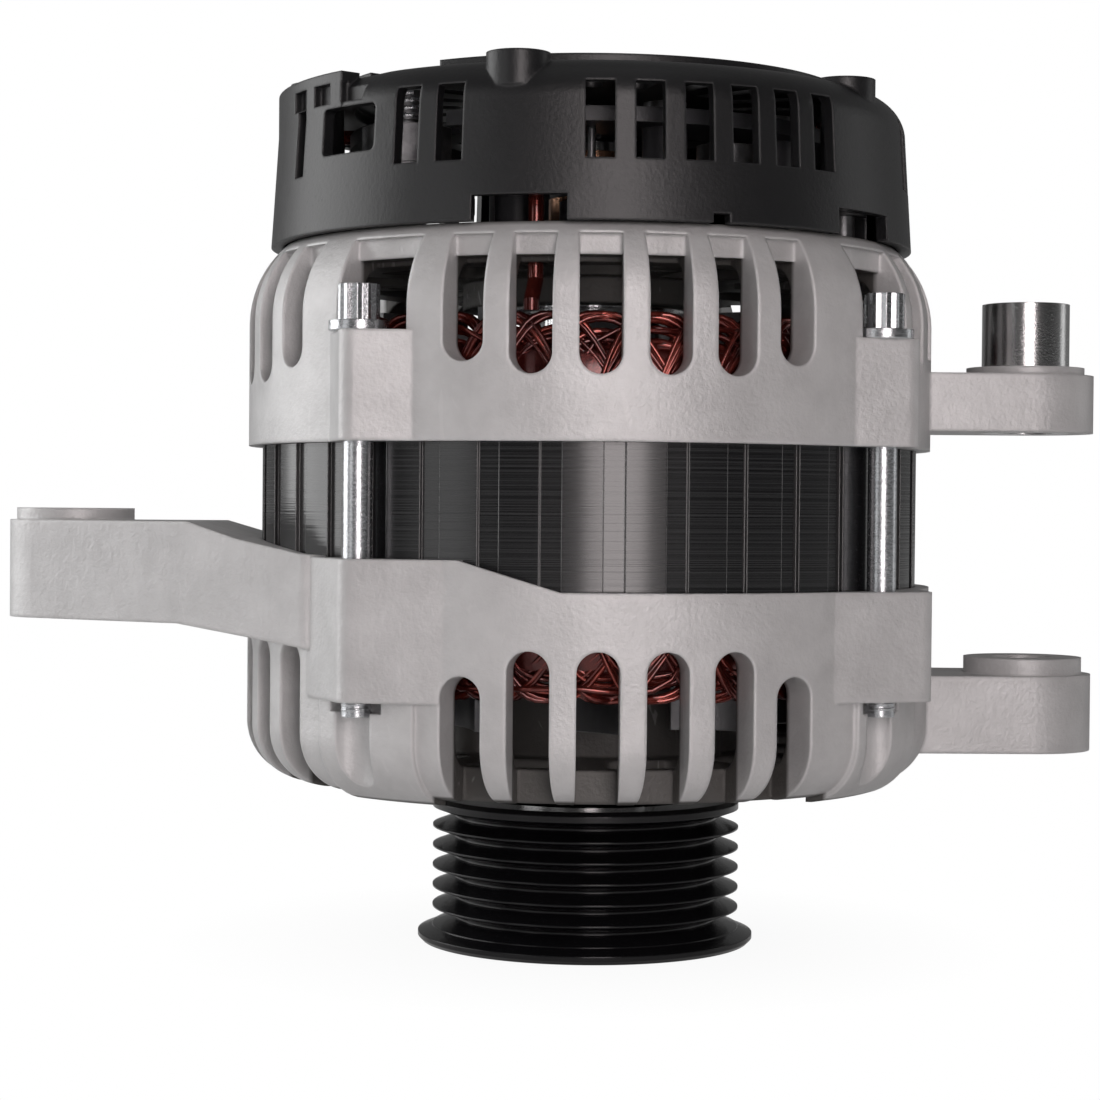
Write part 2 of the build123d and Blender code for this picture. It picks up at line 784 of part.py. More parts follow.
with BuildPart() as field_coil:
    with BuildSketch(Plane.XY.offset(rotor_middle)):
        Circle(coil_outer_radius)
        Circle(coil_inner_radius, mode=Mode.SUBTRACT)
    extrude(amount=coil_length / 2, both=True)
field_coil.part.label = "field_coil"
export_step(field_coil.part, "parts/field_coil.step")


# Fans: pressed sheet discs with swept blades, welded to the outer faces of the claw poles
def fan_wheel(base, direction, blade_inner, blade_height):
    """Fan disc with a scalloped edge and a ring of curved blades."""
    half_step = 180 / blade_count
    with BuildPart() as blade:
        with BuildSketch(Plane.XY.offset(base)):
            with BuildLine():
                RadiusArc(spot(-blade_lean, blade_inner), spot(blade_lean, fan_radius - 0.6),
                          blade_curve_radius)
            trace(line_width=fan_sheet)
        extrude(amount=direction * blade_height)
    with BuildPart() as wheel:
        with BuildSketch(Plane.XY.offset(base)):
            Circle(fan_radius)
            with PolarLocations(fan_radius + fan_scallop_offset, blade_count, start_angle=turned(half_step)):
                Circle(fan_scallop_radius, mode=Mode.SUBTRACT)
            Circle(fan_hub_radius, mode=Mode.SUBTRACT)
        extrude(amount=-direction * fan_sheet)
        with PolarLocations(0, blade_count):
            add(blade.part)
    return wheel.part


with BuildPart() as front_fan:
    add(fan_wheel(front_pole_face - fan_sheet, -1, front_blade_inner_radius, front_blade_height))
front_fan.part.label = "front_fan"
export_step(front_fan.part, "parts/front_fan.step")

with BuildPart() as rear_fan:
    add(fan_wheel(rear_pole_face + fan_sheet, 1, rear_blade_inner_radius, rear_blade_height))
rear_fan.part.label = "rear_fan"
export_step(rear_fan.part, "parts/rear_fan.step")

# Slip rings on their insulating moulding
with BuildPart() as slip_ring_moulding:
    with BuildSketch(Plane.XY.offset(rear_hub_top)):
        Circle(slip_ring_radius - slip_ring_thickness)
        Circle(slip_ring_seat_radius + fit_gap, mode=Mode.SUBTRACT)
    extrude(amount=slip_ring_end - rear_hub_top)
    with BuildSketch(Plane.XY.offset(slip_ring_start + slip_ring_width)):
        Circle(slip_ring_radius - 0.2)
        Circle(slip_ring_radius - slip_ring_thickness - 0.2, mode=Mode.SUBTRACT)
    extrude(amount=slip_ring_spacing - slip_ring_width)
slip_ring_moulding.part.label = "slip_ring_moulding"
export_step(slip_ring_moulding.part, "parts/slip_ring_moulding.step")

upper_ring_start = slip_ring_start + slip_ring_spacing
with BuildPart() as slip_rings:
    with BuildSketch(Plane.XY.offset(slip_ring_start), Plane.XY.offset(upper_ring_start)):
        Circle(slip_ring_radius)
        Circle(slip_ring_radius - slip_ring_thickness, mode=Mode.SUBTRACT)
    extrude(amount=slip_ring_width)
slip_rings.part.label = "slip_rings"
export_step(slip_rings.part, "parts/slip_rings.step")


# Brackets: shared shapes for the bolt bosses, the columns below them and the ears
def boss_block(bottom, top, angle, reach, spread):
    """Boss round a through bolt: two flat faces that meet in a rounded edge."""
    with BuildPart() as boss:
        with BuildSketch(Plane.XY.offset(bottom)):
            with Locations(spot(angle, reach - boss_nose), spot(angle, boss_root_radius + boss_nose),
                           spot(angle - spread, bracket_radius - boss_nose),
                           spot(angle + spread, bracket_radius - boss_nose)):
                Circle(boss_nose)
            make_hull()
        extrude(amount=top - bottom)
    return boss.part


def bowl_column(start, sweep):
    """Strip a little proud of the bowl's wall, which follows its rounded lower corner."""
    foot = bracket_radius - bracket_corner
    outside = bracket_radius + column_proud
    with BuildPart() as column:
        with BuildSketch(upright(start)):
            with BuildLine():
                TangentArc((foot, floor_bottom - column_proud), (outside, side_start), tangent=(1, 0))
                Polyline(
                    (outside, side_start),
                    (outside, drive_boss_bottom + 1),
                    (outside - 3, drive_boss_bottom + 1),
                    (outside - 3, side_start),
                    (foot, floor_bottom + 1),
                    (foot, floor_bottom - column_proud),
                )
            make_face()
        revolve(axis=Axis.Z, revolution_arc=sweep)
    return column.part


def right_ear(bottom, top):
    """Arm from the bracket's wall out to a round lug on the X axis."""
    with BuildPart() as arm:
        with BuildSketch(Plane.XY.offset(bottom)):
            with Locations((right_lug_reach, 0)):
                Circle(right_lug_radius)
            with Locations((bracket_wall_inner_radius, 0)):
                Rectangle(2, right_ear_root)
            make_hull()
            Circle(bracket_wall_inner_radius, mode=Mode.SUBTRACT)
        extrude(amount=top - bottom)
    return arm.part


# Drive-end bracket: cast bowl with a floor, a bearing hub, cooling slots, bosses and two ears
rim_top = drive_bracket_top + raised_rim
slope_start = spot(-20, bracket_radius)[0]
slope_end = spot(-4, bracket_radius)[0]
side_start = floor_bottom + bracket_corner
inner_corner = bracket_corner - floor_thickness
drive_bosses = [
    (bolt_angles[0] + boss_lead, boss_reach, rim_top),
    (bolt_angles[1] + 2 * boss_lead, right_boss_reach, drive_bracket_top),
    (bolt_angles[2] + boss_lead, boss_reach, drive_bracket_top),
    (bolt_angles[3] + boss_lead, boss_reach, rim_top),
]
drive_slots = [a for a in slot_angles if not 60 < a < 105]
short_slots = [a for a in drive_slots if a in end_slots and a < bolt_angles[3]]

with BuildPart() as left_ear:
    with BuildSketch(Plane.XY.offset(core_bottom - 20)):
        with Locations((-left_lug_reach, 0)):
            Circle(left_lug_radius)
        with Locations(spot(bolt_angles[0] - 13, bracket_radius - 1), spot(-118, bracket_radius - 3)):
            Circle(3)
        make_hull()
        Circle(bracket_wall_inner_radius, mode=Mode.SUBTRACT)
    extrude(amount=60)
    with BuildSketch(Plane.XZ):
        with BuildLine():
            Polyline(
                (-left_lug_reach - left_lug_radius - 1, left_lug_bottom),
                (-1.15 * bracket_radius, left_lug_bottom),
                (-0.95 * bracket_radius, left_lug_bottom - 1.7),
                (-0.66 * bracket_radius, left_lug_bottom - 4.3),
                (-0.66 * bracket_radius, rim_top),
                (-0.78 * bracket_radius, rim_top + 0.5),
                (-0.97 * bracket_radius, left_lug_top - 2.8),
                (-1.12 * bracket_radius, left_lug_top),
                (-left_lug_reach - left_lug_radius - 1, left_lug_top),
                close=True,
            )
        make_face()
    extrude(amount=80, both=True, mode=Mode.INTERSECT)

with BuildPart() as drive_end_bracket:
    with BuildSketch(Plane.XZ):
        with BuildLine():
            Polyline((lip_radius, floor_bottom), (bracket_radius - bracket_corner, floor_bottom))
            TangentArc((bracket_radius - bracket_corner, floor_bottom), (bracket_radius, side_start),
                       tangent=(1, 0))
            Polyline(
                (bracket_radius, side_start),
                (bracket_radius, rim_top),
                (bracket_wall_inner_radius, rim_top),
                (bracket_wall_inner_radius, floor_top + inner_corner),
            )
            TangentArc((bracket_wall_inner_radius, floor_top + inner_corner),
                       (bracket_wall_inner_radius - inner_corner, floor_top), tangent=(0, -1))
            Polyline(
                (bracket_wall_inner_radius - inner_corner, floor_top),
                (hub_radius, floor_top),
                (hub_radius, drive_bearing_top),
                (drive_bearing_outside / 2 + fit_gap, drive_bearing_top),
                (drive_bearing_outside / 2 + fit_gap, collar_end),
                (lip_radius, collar_end),
                (lip_radius, floor_bottom),
            )
        make_face()
    revolve(axis=Axis.Z)
    # The rim steps down to the right of the left ear
    with BuildSketch(Plane.XZ):
        with BuildLine():
            Polyline(
                (slope_start, rim_top),
                (slope_end, drive_bracket_top),
                (boss_reach + 5, drive_bracket_top),
                (boss_reach + 5, rim_top + 5),
                (slope_start, rim_top + 5),
                close=True,
            )
        make_face()
    extrude(amount=2 * boss_reach, both=True, mode=Mode.SUBTRACT)
    # Bosses and ears
    for angle, reach, top in drive_bosses:
        add(boss_block(drive_boss_bottom, top, angle, reach, drive_boss_spread))
        add(bowl_column(angle - column_sweep / 2, column_sweep))
    add(left_ear.part)
    add(right_ear(lower_lug_bottom, lower_lug_top))
    with BuildSketch(Plane.XY.offset(left_lug_top)):
        with Locations((-left_lug_reach, 0)):
            Circle(lug_pad_radius)
    extrude(amount=left_pad_height)
    with BuildSketch(Plane.XY.offset(lower_lug_top)):
        with Locations((right_lug_reach, 0)):
            Circle(lug_pad_radius)
    extrude(amount=lower_pad_height)
    # Room inside for the core and for the end turns
    with BuildSketch(Plane.XY.offset(core_bottom)):
        Circle(core_radius + running_gap)
    extrude(amount=rim_top, mode=Mode.SUBTRACT)
    with BuildSketch(Plane.XY.offset(floor_top + inner_corner)):
        Circle(bracket_wall_inner_radius)
        Circle(hub_radius, mode=Mode.SUBTRACT)
    extrude(amount=core_bottom - floor_top - inner_corner, mode=Mode.SUBTRACT)
    # Screw bosses round the bearing pocket
    with BuildSketch(Plane.XY.offset(floor_top)):
        with PolarLocations(plate_screw_circle, plate_screw_count, start_angle=45):
            Circle(plate_lobe_radius)
        Circle(drive_bearing_outside / 2 + fit_gap, mode=Mode.SUBTRACT)
    extrude(amount=drive_bearing_top - floor_top)
    with Locations((0, 0, drive_bearing_top)):
        with PolarLocations(plate_screw_circle, plate_screw_count, start_angle=45):
            Hole(plate_screw_radius + fit_gap, depth=plate_screw_depth)
    # Cooling slots, some of them shorter at the ends of a quarter
    for angle in drive_slots:
        top = slot_top - short_slot_drop if angle in short_slots else slot_top
        with BuildSketch(facing(angle, floor_radius)):
            add(arch(slot_opening, floor_bottom - 1, top))
        extrude(amount=bracket_radius - floor_radius + 1, mode=Mode.SUBTRACT)
    # Air inlets in the floor
    with BuildSketch(Plane.XY.offset(floor_bottom)) as inlets:
        Circle(floor_window_outer)
        Circle(floor_window_inner, mode=Mode.SUBTRACT)
        with PolarLocations((floor_window_inner + floor_window_outer) / 2, floor_spoke_count):
            Rectangle(2 * bracket_corner + 4, floor_spoke_width, mode=Mode.SUBTRACT)
        fillet(inlets.vertices(), 1.5)
    extrude(amount=floor_thickness, mode=Mode.SUBTRACT)
    # Room below each boss for the bolt's tail, and a flute down from it
    with BuildSketch(*[facing(a, bracket_radius - 2.5) for a in bolt_angles]):
        with Locations((0, drive_boss_bottom)):
            Rectangle(tail_room_width, tail_room_height, align=(Align.CENTER, Align.MAX))
    extrude(amount=8, mode=Mode.SUBTRACT)
    with BuildSketch(Plane.XY.offset(floor_bottom - 3)):
        with Locations(*[spot(a - 0.5, bolt_circle_radius + 0.8) for a in bolt_angles]):
            Circle(tail_flute_radius)
    extrude(amount=drive_boss_bottom - floor_bottom + 3, mode=Mode.SUBTRACT)
    # Holes for the through bolts and for the mounting bolts
    with BuildSketch(Plane.XY.offset(drive_boss_bottom - 6)):
        with Locations(*[spot(a, bolt_circle_radius) for a in bolt_angles]):
            Circle(bolt_radius + running_gap)
    extrude(amount=rim_top, mode=Mode.SUBTRACT)
    with BuildSketch(Plane.XY):
        with Locations((-left_lug_reach, 0), (right_lug_reach, 0)):
            Circle(lug_bolt_radius + hole_gap)
    extrude(amount=2 * rim_top, mode=Mode.SUBTRACT)
drive_end_bracket.part.label = "drive_end_bracket"
export_step(drive_end_bracket.part, "parts/drive_end_bracket.step")

# Rear bracket: cast ring with an end wall, a bearing hub, slots, bosses and one ear
shoulder_height = rear_bracket_bottom + rear_shoulder_start
rear_hub_radius = rear_sleeve_radius + rear_hub_wall
rear_corner = 4.5
wall_edge_radius = rear_rim_radius - rear_rim_width
rear_cut = bracket_radius - wall_edge_radius + 1
ear_slots = [a for a in slot_angles if abs(a - 90) <= 14]
open_rear_slots = [a for a in slot_angles if abs(a - 90) > 14]
lead_circle = wall_edge_radius - 3.7

with BuildPart() as rear_bracket:
    with BuildSketch(Plane.XZ):
        with BuildLine():
            Polyline(
                (core_radius + running_gap, rear_bracket_bottom),
                (bracket_radius, rear_bracket_bottom),
                (bracket_radius, shoulder_height),
            )
            ThreePointArc(
                (bracket_radius, shoulder_height),
                (bracket_radius - 1.4, (shoulder_height + rear_bracket_top) / 2),
                (rear_rim_radius, rear_bracket_top),
            )
            Polyline(
                (rear_rim_radius, rear_bracket_top),
                (wall_edge_radius, rear_bracket_top),
                (wall_edge_radius, rear_wall_top),
                (rear_hub_radius, rear_wall_top),
                (rear_hub_radius, rear_hub_top),
                (rear_journal_radius + 2.5, rear_hub_top),
                (rear_journal_radius + 2.5, rear_bearing_top),
                (rear_sleeve_radius + fit_gap, rear_bearing_top),
                (rear_sleeve_radius + fit_gap, rear_bearing_bottom),
                (rear_hub_radius, rear_bearing_bottom),
                (rear_hub_radius, rear_wall_bottom),
                (bracket_wall_inner_radius - rear_corner, rear_wall_bottom),
            )
            TangentArc((bracket_wall_inner_radius - rear_corner, rear_wall_bottom),
                       (bracket_wall_inner_radius, rear_wall_bottom - rear_corner), tangent=(1, 0))
            Polyline(
                (bracket_wall_inner_radius, rear_wall_bottom - rear_corner),
                (bracket_wall_inner_radius, core_top),
                (core_radius + running_gap, core_top),
                (core_radius + running_gap, rear_bracket_bottom),
            )
        make_face()
    revolve(axis=Axis.Z)
    for angle in bolt_angles:
        add(boss_block(rear_bracket_bottom, rear_boss_top, angle + boss_lead, boss_reach, rear_boss_spread))
    add(right_ear(upper_lug_bottom, upper_lug_top))
    with BuildSketch(Plane.XY.offset(upper_lug_top)):
        with Locations((right_lug_reach, 0)):
            Circle(lug_pad_radius)
    extrude(amount=upper_pad_height)
    # Room inside for the core and for the end turns
    with BuildSketch(Plane.XY.offset(rear_bracket_bottom)):
        Circle(core_radius + running_gap)
    extrude(amount=core_top - rear_bracket_bottom, mode=Mode.SUBTRACT)
    with BuildSketch(Plane.XY.offset(core_top)):
        Circle(bracket_wall_inner_radius)
    extrude(amount=rear_bearing_bottom - core_top, mode=Mode.SUBTRACT)
    # Cooling slots, which go on over the shoulder as shallow notches
    for angle in open_rear_slots:
        low = rear_slot_bottom + rear_short_slot_rise if angle in end_slots else rear_slot_bottom
        with BuildSketch(facing(angle, wall_edge_radius)):
            add(arch(rear_slot_opening, rear_notch_bottom, low))
        extrude(amount=rear_cut, mode=Mode.SUBTRACT)
    with BuildSketch(*[facing(a, wall_edge_radius) for a in ear_slots]):
        with Locations((0, upper_lug_top + 2)):
            Rectangle(rear_slot_opening, rear_notch_bottom - upper_lug_top - 2,
                      align=(Align.CENTER, Align.MIN))
    extrude(amount=rear_cut, mode=Mode.SUBTRACT)
    with BuildSketch(*[facing(a, rear_notch_radius) for a in slot_angles]):
        with Locations((0, rear_notch_bottom)):
            Rectangle(rear_slot_opening, rear_wall_top - rear_notch_bottom, align=(Align.CENTER, Align.MIN))
    extrude(amount=rear_cut, mode=Mode.SUBTRACT)
    # Windows that the bolt heads stand in
    with BuildSketch(*[facing(a + rear_window_lead, wall_edge_radius) for a in bolt_angles]):
        with Locations((0, rear_boss_top)):
            Rectangle(rear_window_width, rear_notch_bottom - rear_boss_top, align=(Align.CENTER, Align.MIN))
    extrude(amount=boss_reach - wall_edge_radius, mode=Mode.SUBTRACT)
    with BuildSketch(*[facing(a + rear_window_lead, rear_notch_radius) for a in bolt_angles]):
        with Locations((0, rear_notch_bottom)):
            Rectangle(rear_window_width, rear_wall_top - rear_notch_bottom, align=(Align.CENTER, Align.MIN))
    extrude(amount=rear_cut, mode=Mode.SUBTRACT)
    # Air inlets in the end wall
    with BuildSketch(Plane.XY.offset(rear_wall_bottom)) as rear_inlets:
        Circle(wall_edge_radius - rear_inlet_margin)
        Circle(rear_hub_radius + 3, mode=Mode.SUBTRACT)
        with PolarLocations(wall_edge_radius / 2, rear_spoke_count,
                            start_angle=turned(rear_spoke_start)):
            Rectangle(wall_edge_radius, rear_spoke_width, mode=Mode.SUBTRACT)
        fillet(rear_inlets.vertices(), 1.5)
    extrude(amount=rear_end_wall, mode=Mode.SUBTRACT)
    # Holes for bolts, phase leads and the bush, and pads for the cover's posts
    with BuildSketch(Plane.XY.offset(rear_wall_top)):
        with Locations(*[spot(a, cover_post_circle) for a in post_angles]):
            Circle(cover_post_radius)
    extrude(amount=rear_bracket_top - rear_wall_top)
    with BuildSketch(Plane.XY.offset(rear_wall_bottom - 1)):
        with Locations(*[spot(a, cover_post_circle) for a in post_angles]):
            Circle(cover_screw_radius + fit_gap)
        with Locations(*[spot(a, lead_circle) for a in phase_lead_angles]):
            Circle(lead_radius + 0.6)
        with Locations(*[spot(a, diode_circle) for a in rectifier_screw_angles]):
            Circle(cover_screw_radius + fit_gap)
        with Locations(*regulator_screw_spots):
            Circle(cover_screw_radius + fit_gap)
    extrude(amount=rear_bracket_top, mode=Mode.SUBTRACT)
    with BuildSketch(Plane.XY.offset(rear_bracket_bottom)):
        with Locations(*[spot(a, bolt_circle_radius) for a in bolt_angles]):
            Circle(bolt_radius + running_gap)
    extrude(amount=rear_boss_top - rear_bracket_bottom, mode=Mode.SUBTRACT)
    with BuildSketch(Plane.XY.offset(upper_lug_bottom)):
        with Locations((right_lug_reach, 0)):
            Circle(bush_radius + fit_gap)
    extrude(amount=bush_top - upper_lug_bottom, mode=Mode.SUBTRACT)
rear_bracket.part.label = "rear_bracket"
export_step(rear_bracket.part, "parts/rear_bracket.step")

# Split steel bush, pressed in the upper ear and proud of it
with BuildPart() as pivot_bush:
    with BuildSketch(Plane.XY.offset(upper_lug_bottom)):
        with Locations((right_lug_reach, 0)):
            Circle(bush_radius)
            Circle(lug_bolt_radius + hole_gap, mode=Mode.SUBTRACT)
        with Locations((right_lug_reach + 0.8 * bush_radius, 0.45 * bush_radius)):
            Rectangle(bush_radius, bush_slit, rotation=30, mode=Mode.SUBTRACT)
    extrude(amount=bush_top - upper_lug_bottom)
pivot_bush.part.label = "pivot_bush"
export_step(pivot_bush.part, "parts/pivot_bush.step")

# Through bolts: shank, flange and 12-point head
bolt_tip = drive_boss_bottom - bolt_tail
with BuildPart() as through_bolts:
    with BuildSketch(Plane.XY.offset(bolt_tip)):
        with Locations(*[spot(a, bolt_circle_radius) for a in bolt_angles]):
            Circle(bolt_radius)
    extrude(amount=rear_boss_top - bolt_tip)
    with BuildSketch(Plane.XY.offset(rear_boss_top)):
        with Locations(*[spot(a, bolt_circle_radius) for a in bolt_angles]):
            Circle(bolt_flange_radius)
    extrude(amount=bolt_flange_thickness)
    with BuildSketch(Plane.XY.offset(rear_boss_top + bolt_flange_thickness)):
        with Locations(*[spot(a, bolt_circle_radius) for a in bolt_angles]):
            RegularPolygon(bolt_drive_radius, 6)
            RegularPolygon(bolt_drive_radius, 6, rotation=30)
    extrude(amount=bolt_drive_height)
through_bolts.part.label = "through_bolts"
export_step(through_bolts.part, "parts/through_bolts.step")

# Phase leads: from the end turns up through the end wall to the terminal plate
lead_start_circle = winding_middle_radius
lead_rest = terminal_plate_top + lead_radius
with BuildPart() as phase_leads:
    for angle in phase_lead_angles:
        with BuildLine(upright(angle)):
            Polyline(
                (lead_start_circle, rear_winding_end),
                (lead_start_circle, rear_winding_end + 1.5),
                (lead_circle, rear_winding_end + 5),
                (lead_circle, lead_rest),
                (sink_outer_radius - 3.5, lead_rest),
            )
        with BuildSketch(Plane.XY.offset(rear_winding_end)):
            with Locations(spot(angle, lead_start_circle)):
                Circle(lead_radius)
        sweep(transition=Transition.RIGHT)
phase_leads.part.label = "phase_leads"
export_step(phase_leads.part, "parts/phase_leads.step")

# Rectifier: two heat sinks, press-fit diodes, insulators, terminal plate and screws
with BuildPart() as negative_heat_sink:
    with BuildSketch(Plane.XY.offset(rear_wall_top)):
        add(ring_sector(sink_inner_radius, sink_outer_radius, sink_start, sink_sweep))
        with Locations(*[spot(a, diode_circle) for a in rectifier_screw_angles]):
            Circle(cover_screw_radius + fit_gap, mode=Mode.SUBTRACT)
    extrude(amount=sink_thickness)
negative_heat_sink.part.label = "negative_heat_sink"
export_step(negative_heat_sink.part, "parts/negative_heat_sink.step")

stud_place = spot(stud_angle, stud_circle)
stud_pad_radius = 8.0
with BuildPart() as positive_heat_sink:
    with BuildSketch(Plane.XY.offset(positive_sink_bottom)):
        add(ring_sector(sink_inner_radius, sink_outer_radius, sink_start, sink_sweep))
        with Locations(stud_place):
            Circle(stud_pad_radius)
        with Locations(*[spot(a, diode_circle) for a in rectifier_screw_angles]):
            Circle(cover_screw_radius + fit_gap, mode=Mode.SUBTRACT)
        with Locations(*[spot(a, diode_circle) for a in diode_angles_negative]):
            Circle(diode_radius - 2, mode=Mode.SUBTRACT)
    extrude(amount=sink_thickness)
positive_heat_sink.part.label = "positive_heat_sink"
export_step(positive_heat_sink.part, "parts/positive_heat_sink.step")


def diodes(seat, angles):
    """Round cans on a heat sink with leads up to the terminal plate."""
    with BuildPart() as cans:
        with BuildSketch(Plane.XY.offset(seat)):
            with Locations(*[spot(a, diode_circle) for a in angles]):
                Circle(diode_radius)
        extrude(amount=diode_height)
        with BuildSketch(Plane.XY.offset(seat + diode_height)):
            with Locations(*[spot(a, diode_circle) for a in angles]):
                Circle(diode_lead_radius)
        extrude(amount=terminal_plate_bottom - seat - diode_height)
    return cans.part


with BuildPart() as negative_diodes:
    add(diodes(negative_sink_top, diode_angles_negative))
negative_diodes.part.label = "negative_diodes"
export_step(negative_diodes.part, "parts/negative_diodes.step")

with BuildPart() as positive_diodes:
    add(diodes(positive_sink_top, diode_angles_positive))
positive_diodes.part.label = "positive_diodes"
export_step(positive_diodes.part, "parts/positive_diodes.step")

with BuildPart() as heat_sink_insulators:
    with BuildSketch(Plane.XY.offset(negative_sink_top)):
        with Locations(*[spot(a, diode_circle) for a in rectifier_screw_angles]):
            Circle(insulator_radius)
            Circle(cover_screw_radius + fit_gap, mode=Mode.SUBTRACT)
    extrude(amount=positive_sink_lift)
heat_sink_insulators.part.label = "heat_sink_insulators"
export_step(heat_sink_insulators.part, "parts/heat_sink_insulators.step")

with BuildPart() as terminal_plate:
    with BuildSketch(Plane.XY.offset(terminal_plate_bottom)):
        add(ring_sector(sink_inner_radius + 1, sink_outer_radius - 0.8, sink_start, sink_sweep))
        with Locations(stud_place):
            Circle(stud_pad_radius + 1, mode=Mode.SUBTRACT)
    extrude(amount=terminal_plate_thickness)
    with BuildSketch(Plane.XY.offset(positive_sink_top)):
        with Locations(*[spot(a, diode_circle) for a in rectifier_screw_angles]):
            Circle(insulator_radius)
    extrude(amount=terminal_plate_lift)
    with BuildSketch(Plane.XY.offset(positive_sink_top)):
        with Locations(*[spot(a, diode_circle) for a in rectifier_screw_angles]):
            Circle(cover_screw_radius + fit_gap)
    extrude(amount=terminal_plate_lift + terminal_plate_thickness, mode=Mode.SUBTRACT)
terminal_plate.part.label = "terminal_plate"
export_step(terminal_plate.part, "parts/terminal_plate.step")

rectifier_screw_tip = rear_wall_top - screw_bite
with BuildPart() as rectifier_screws:
    with BuildSketch(Plane.XY.offset(rectifier_screw_tip)):
        with Locations(*[spot(a, diode_circle) for a in rectifier_screw_angles]):
            Circle(cover_screw_radius)
    extrude(amount=terminal_plate_top - rectifier_screw_tip)
    with BuildSketch(Plane.XY.offset(terminal_plate_top)):
        with Locations(*[spot(a, diode_circle) for a in rectifier_screw_angles]):
            Circle(cover_screw_head_radius)
    extrude(amount=rectifier_head_height)
rectifier_screws.part.label = "rectifier_screws"
export_step(rectifier_screws.part, "parts/rectifier_screws.step")

# Output stud with its nut, and an undercut where the two stretches of its thread end
stud_top = positive_sink_top + stud_height
stud_nut_top = positive_sink_top + stud_nut_height
with BuildPart() as output_stud:
    with BuildSketch(Plane.XY.offset(positive_sink_top)):
        with Locations(stud_place):
            Circle(stud_radius)
    extrude(amount=stud_height)
    with BuildSketch(Plane.XY.offset(stud_nut_top)):
        with Locations(stud_place):
            Circle(stud_radius)
            Circle(stud_undercut_radius, mode=Mode.SUBTRACT)
    extrude(amount=stud_undercut_width, mode=Mode.SUBTRACT)
    chamfer(output_stud.edges().group_by(Axis.Z)[-1], edge_break)
output_stud.part.label = "output_stud"
export_step(output_stud.part, "parts/output_stud.step")

with BuildPart() as output_nut:
    with BuildSketch(Plane.XY.offset(positive_sink_top)):
        with Locations(stud_place):
            RegularPolygon(stud_nut_across_flats / 2, 6, major_radius=False)
            Circle(stud_radius + fit_gap, mode=Mode.SUBTRACT)
    extrude(amount=stud_nut_height)
output_nut.part.label = "output_nut"
export_step(output_nut.part, "parts/output_nut.step")

# Brush holder: two square channels that point at the slip rings
holder_front = slip_ring_radius + 2.0
ring_heights = (slip_ring_start + slip_ring_width / 2, upper_ring_start + slip_ring_width / 2)
holder_bottom = rear_hub_top
holder_top = ring_heights[1] + brush_height / 2 + slide_gap + holder_wall
with BuildPart() as brush_holder:
    with BuildSketch(Plane.XY.offset(holder_bottom)):
        with Locations((0, holder_front)):
            Rectangle(holder_width, holder_back - holder_front, align=(Align.CENTER, Align.MIN))
    extrude(amount=holder_top - holder_bottom)
    with BuildSketch(Plane.XZ.offset(-channel_end)):
        with Locations(*[(0, height) for height in ring_heights]):
            Rectangle(brush_width + 2 * slide_gap, brush_height + 2 * slide_gap)
    extrude(amount=channel_end, mode=Mode.SUBTRACT)
brush_holder.part.label = "brush_holder"
export_step(brush_holder.part, "parts/brush_holder.step")


def brush(height):
    """Carbon brush with a hollow end that fits its slip ring."""
    with BuildPart() as block:
        with BuildSketch(Plane.XY.offset(height)):
            with Locations((0, slip_ring_radius - 2)):
                Rectangle(brush_width, brush_length + 2, align=(Align.CENTER, Align.MIN))
            Circle(brush_reach, mode=Mode.SUBTRACT)
        extrude(amount=brush_height / 2, both=True)
    return block.part


def brush_spring(height):
    """Coil spring between the brush and the end of its channel."""
    start = brush_reach - running_gap + brush_length + 0.05 + spring_wire
    length = channel_end - start - spring_wire - 0.05
    with BuildPart() as coil:
        with BuildLine() as wire:
            Helix(length / spring_turns, length, spring_radius, center=(0, start, height),
                  direction=(0, 1, 0))
        with BuildSketch(Plane(origin=wire.line @ 0, z_dir=wire.line % 0)):
            Rectangle(1.6 * spring_wire, 1.6 * spring_wire)
        sweep(is_frenet=True)
    return coil.part


with BuildPart() as lower_brush:
    add(brush(ring_heights[0]))
lower_brush.part.label = "lower_brush"
export_step(lower_brush.part, "parts/lower_brush.step")

with BuildPart() as upper_brush:
    add(brush(ring_heights[1]))
upper_brush.part.label = "upper_brush"
export_step(upper_brush.part, "parts/upper_brush.step")

with BuildPart() as lower_brush_spring:
    add(brush_spring(ring_heights[0]))
lower_brush_spring.part.label = "lower_brush_spring"
export_step(lower_brush_spring.part, "parts/lower_brush_spring.step")

with BuildPart() as upper_brush_spring:
    add(brush_spring(ring_heights[1]))
upper_brush_spring.part.label = "upper_brush_spring"
export_step(upper_brush_spring.part, "parts/upper_brush_spring.step")

